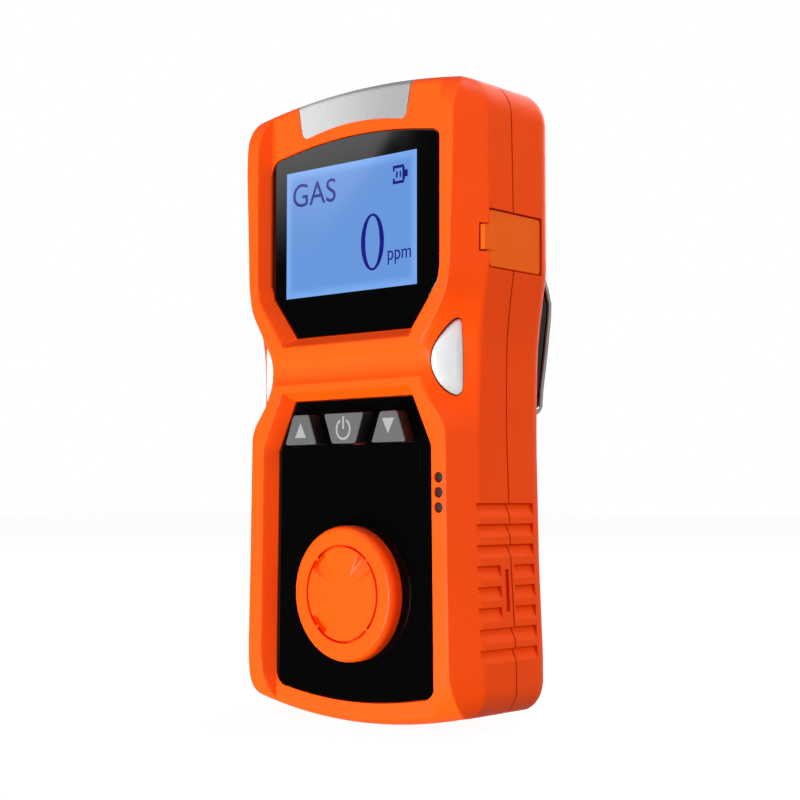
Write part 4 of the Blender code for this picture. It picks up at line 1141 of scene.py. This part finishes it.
def sensorCap():
    face, radius = -capForm["proud"], capForm["radius"]
    profile = [(capForm["face"] * step / 48, face) for step in range(49)]
    for step in range(1, 9):
        angle = step * pi / 16
        out = capForm["face"] + (radius - capForm["face"]) * sin(angle)
        profile.append((out, face + capForm["edgeRound"] * (1 - cos(angle))))
    profile += [(radius, 1.8), (radius, 2.35), (capForm["spigot"], 2.35), (capForm["spigot"], 5.6),
                (capForm["bore"], 5.6), (capForm["bore"], 1.6), (0, 1.6)]
    bm = turned(profile, 180)
    for vert in bm.verts:
        out = hypot(vert.co.x, vert.co.z)
        if vert.co.y < 0.5 and 3.0 < out < 8.75:
            # three wedge-shaped finger dips that deepen towards the ring groove
            for turn in (45, 135, 225):
                off = abs((atan2(vert.co.z, vert.co.x) - radians(turn) + pi) % (2 * pi) - pi) / radians(17)
                if off < 1:
                    side, deep = min(1.0, (1 - off) * 2.2), (out - 3.0) / 5.75
                    vert.co.y += capForm["dimple"] * side * side * (3 - 2 * side) * deep ** 1.6
    bmesh.ops.translate(bm, vec=(0, 0, capForm["z"]), verts=bm.verts)
    slots = [arcSlot(quarter * pi / 2, capForm["slot"], capForm["slotWidth"], capForm["reach"],
                     -1.0, face + capForm["slotDeep"]) for quarter in range(4)]
    bm = combined(bm, gather(slots))
    finishPiece("sensorCap", bm, "case", [paints["cap"]], ["sensor_cap"], 40)


sensorCap()
print("sensor cap made")


# --- light windows

def topWindow():
    # follows the case's front and top, a hair below them
    columns, rows = 80, 18
    f = topWindowForm
    bm = bmesh.new()
    bmesh.ops.create_grid(bm, x_segments=columns, y_segments=rows, size=1)
    for vert in bm.verts:
        across = sin(vert.co.x * pi / 2)
        rise = 1 - (1 - (vert.co.y + 1) / 2) ** 1.7
        half = f["cornerX"] + f["cornerWide"]
        x = across * (half + f["widen"] * rise)
        low = windowFoot(abs(across) * half)
        top = outlineTop(x, 30.3) - 0.05
        z = low + (top - low) * rise
        vert.co = (x, max(frontDepth(x, z), bowDepth(x, z)) + 0.02, z)
    rim = [edge for edge in bm.edges if edge.is_boundary]
    topEdges = [e for e in rim if all(v.co.z > outlineTop(v.co.x, 30.3) - 0.06 for v in e.verts)]
    for y in (5.6, 6.2, 7.5, 9.0, 9.75):
        topEdges = [e for e in extrudeRim(bm, topEdges, lambda vert: Vector((vert.co.x, y, vert.co.z)))
                    if all(abs(v.co.y - y) < 0.001 for v in e.verts)]
    bmesh.ops.recalc_face_normals(bm, faces=bm.faces)
    if sum(face.normal.y for face in bm.faces) > 0:
        bmesh.ops.reverse_faces(bm, faces=bm.faces)
    pushed(bm, bm.faces[:], (0, f["thick"], -f["thick"]))
    finishPiece("topWindow", bm, "case", [paints["window"]], ["top_light_window"], 40)


def sideWindow(side, name, node):
    # a lens with a soft crown
    rings = ((1.0, -2.4), (1.0, -0.14), (0.985, 0.02), (0.95, 0.12), (0.86, 0.23), (0.7, 0.34), (0.5, 0.42),
             (0.3, 0.46))
    bm = sideWindowBlock(side, 0.0, rings)
    finishPiece(name, bm, "case", [paints["sideWindow"]], [node], 45)


topWindow()
sideWindow(1, "sideWindowRight", "side_light_window_right")
sideWindow(-1, "sideWindowLeft", "side_light_window_left")
print("light windows made")


# --- socket flap

def levelPrism(outline, low, high):
    # a straight block upwards from an outline of (x, y)
    bm = bmesh.new()
    face = bm.faces.new([bm.verts.new((x, y, low)) for x, y in outline])
    return pushed(bm, [face], (0, 0, high - low))


def socketFlap():
    (front, back), (low, high) = flapForm["y"], flapForm["z"]
    face = flapForm["x"] - flapForm["sunk"]
    inner = face - flapForm["thick"]
    plate = softened([(front, low), (back, low), (back, high), (front, high)], 0.9, 5)
    bm = rounded(sidePrism(plate, inner, face), 0.22, 3, 60,
                 lambda edge: all(v.co.x > face - 0.01 for v in edge.verts))
    # a finger nub that stands up at its front end and runs out into the door
    middle, half = (low + high) / 2, flapForm["tabHalf"]
    start, end, proud = flapForm["tabFront"], flapForm["tabBack"], flapForm["x"] - 0.02
    nub = levelPrism([(inner + 0.1, start), (proud, start), (proud, start + flapForm["tabFlat"]),
                      (face - 0.05, end), (inner + 0.1, end)], middle - half, middle + half)
    bm = combined(bm, rounded(nub, 0.16, 3, 25), "UNION")
    plug = block((flapForm["x"] - 2.3, 15.0, middle - 3.6), (inner + 0.1, 17.4, middle + 3.6))
    bm = combined(bm, plug, "UNION")
    finishPiece("socketFlap", bm, "flap", [paints["flap"]], ["port_flap"], 40)


socketFlap()
print("flap made")


# --- belt clip, label and the pieces that keep their CAD shape

def refinedNode(name, node, body, paint, width, segments=2, over=32.0):
    bm = rounded(copyOfNode(node), width, segments, over)
    finishPiece(name, bm, body, [paint], [node], 40)


refinedNode("clipLever", "clip_lever", "clip", paints["steel"], 0.28, 3, 40)
refinedNode("clipLiner", "clip_liner", "clip", paints["black"], 0.2, 2, 40)
refinedNode("clipPlate", "clip_base", "case", paints["plainSteel"], 0.14, 2, 40)
refinedNode("clipPin", "clip_pin", "case", paints["plainSteel"], 0.2, 2, 60)
refinedNode("ratingLabel", "rating_label", "case", paints["label"], 0.06, 2, 60)

nodePaint = {
    "case_seal": "rubber", "keypad_mat": "rubber", "sensor_seal": "rubber",
    "switch_up": "black", "switch_power": "black", "switch_down": "black", "buzzer": "black",
    "sensor_filter": "membrane", "gas_sensor": "can", "sensor_board": "board", "main_board": "board",
    "lcd_module": "screen", "lcd_backlight": "white", "lcd_flex": "flex", "alarm_led_top": "white",
    "alarm_led_left": "white", "alarm_led_right": "white", "board_plug": "white", "battery": "wrap",
    "buzzer_mesh": "plainSteel", "vibration_motor": "plainSteel", "charge_port": "plainSteel",
    "clip_spring": "plainSteel",
}
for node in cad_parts.values():
    if node.hide_render:
        continue
    paint = paints[nodePaint.get(node.name, "plainSteel")]
    node.data.materials.clear()
    node.data.materials.append(paint)
print("carried-over pieces painted")


# --- floor, lights and camera

studio = {
    "floor": (0.12, 0.12, 0.12),
    "floorGlow": 0.95,
    "sky": 0.2,
    "mirrorFront": 0.015,
    "mirrorBack": 0.35,
    "sheen": 2.0,
    # name, place, size, power, whether mirrors see it
    "lights": (
        ("key", (-0.62, -0.66, -0.44), 0.4, 17.0, False),
        ("front", (-0.13, -0.97, -0.1), 0.35, 8.5, True),
        ("right", (0.95, -0.1, 0.3), 0.6, 5.2, False),
        ("top", (0.35, 0.35, 0.95), 0.6, 4.0, True),
        ("behind", (-0.2, 0.9, 0.5), 0.7, 4.0, True),
    ),
    "aim": (0.0, 0.0, 0.06),
    "camera": (0.20283, -0.23514, 0.0417),
    "cameraTurn": (93.716, 0.0, 41.54),
    "lens": 70.0,
}


def makeFloor():
    bm = bmesh.new()
    bmesh.ops.create_grid(bm, x_segments=8, y_segments=8, size=4)
    bmesh.ops.translate(bm, vec=(0, 0, -0.0001), verts=bm.verts)
    mesh = bpy.data.meshes.new("floor")
    bm.to_mesh(mesh)
    bm.free()
    floor = bpy.data.objects.new("floor", mesh)
    bpy.context.scene.collection.objects.link(floor)
    sheet = Sheet("floorPaint")
    cloud = sheet.noise(3.0, 2.0)
    colour = sheet.mix(cloud, studio["floor"], (0.14, 0.14, 0.14))
    mesh.materials.append(sheet.paint(colour=colour, rough=0.9, gloss=0.0, glow=(1.0, 1.0, 1.0),
                                      glowPower=studio["floorGlow"]))
    # the floor glows for the eye only, so that the object is lit by the lamps
    floor.visible_glossy = False
    floor.visible_diffuse = False
    floor.visible_shadow = False


def makeLights():
    for name, place, size, power, mirrored in studio["lights"]:
        lamp = bpy.data.lights.new(name, "AREA")
        lamp.size = size
        lamp.energy = power
        thing = bpy.data.objects.new(name, lamp)
        bpy.context.scene.collection.objects.link(thing)
        thing.location = place
        thing.rotation_euler = (Vector(studio["aim"]) - Vector(place)).to_track_quat("-Z", "Y").to_euler()
        thing.visible_glossy = mirrored


class SkySheet(Sheet):
    # the node sheet of the surroundings
    def __init__(self, world):
        self.tree = world.node_tree
        self.shader = self.tree.nodes["Background"]


def makeSky():
    # white to the eye; for mirror-like reflections the room is dark in front, with one slanting
    # window pane of light up to the left, and bright behind
    world = bpy.data.worlds.new("studioSky")
    bpy.context.scene.world = world
    world.use_nodes = True
    sheet = SkySheet(world)
    ray = sheet.node("ShaderNodeLightPath")
    x, y, z = sheet.node("ShaderNodeSeparateXYZ", {}, {0: sheet.node("ShaderNodeTexCoord")[0]})
    ahead = (0.0 - y).highest(0.05)
    pane = sheet.ramp((z - x) / ahead, 1.21, 1.225) * sheet.ramp(z / ahead, 0.215, 0.34)
    pane = pane * sheet.ramp(x / ahead, -1.5, -1.2) * (y < -0.2)
    share = sheet.ramp(y, -0.3, 0.4)
    room = studio["mirrorFront"] + share * (studio["mirrorBack"] - studio["mirrorFront"])
    mirrored = room + pane * studio["sheen"]
    unseen = studio["sky"] + ray[3] * (mirrored - studio["sky"])
    sheet.feed(sheet.shader.inputs["Color"], (1.0, 1.0, 1.0))
    sheet.feed(sheet.shader.inputs["Strength"], unseen + ray[0] * (1.0 - unseen))


def makeCamera():
    lens = bpy.data.cameras.new("camera")
    lens.lens = studio["lens"]
    lens.sensor_width = 36.0
    lens.clip_start = 0.01
    camera = bpy.data.objects.new("camera", lens)
    bpy.context.scene.collection.objects.link(camera)
    camera.location = studio["camera"]
    camera.rotation_euler = [radians(angle) for angle in studio["cameraTurn"]]
    bpy.context.scene.camera = camera


makeFloor()
makeLights()
makeSky()
makeCamera()
bpy.context.scene.view_settings.view_transform = "Standard"
print("studio made")


def plain(box):
    return [[float(value) for value in corner] for corner in box]
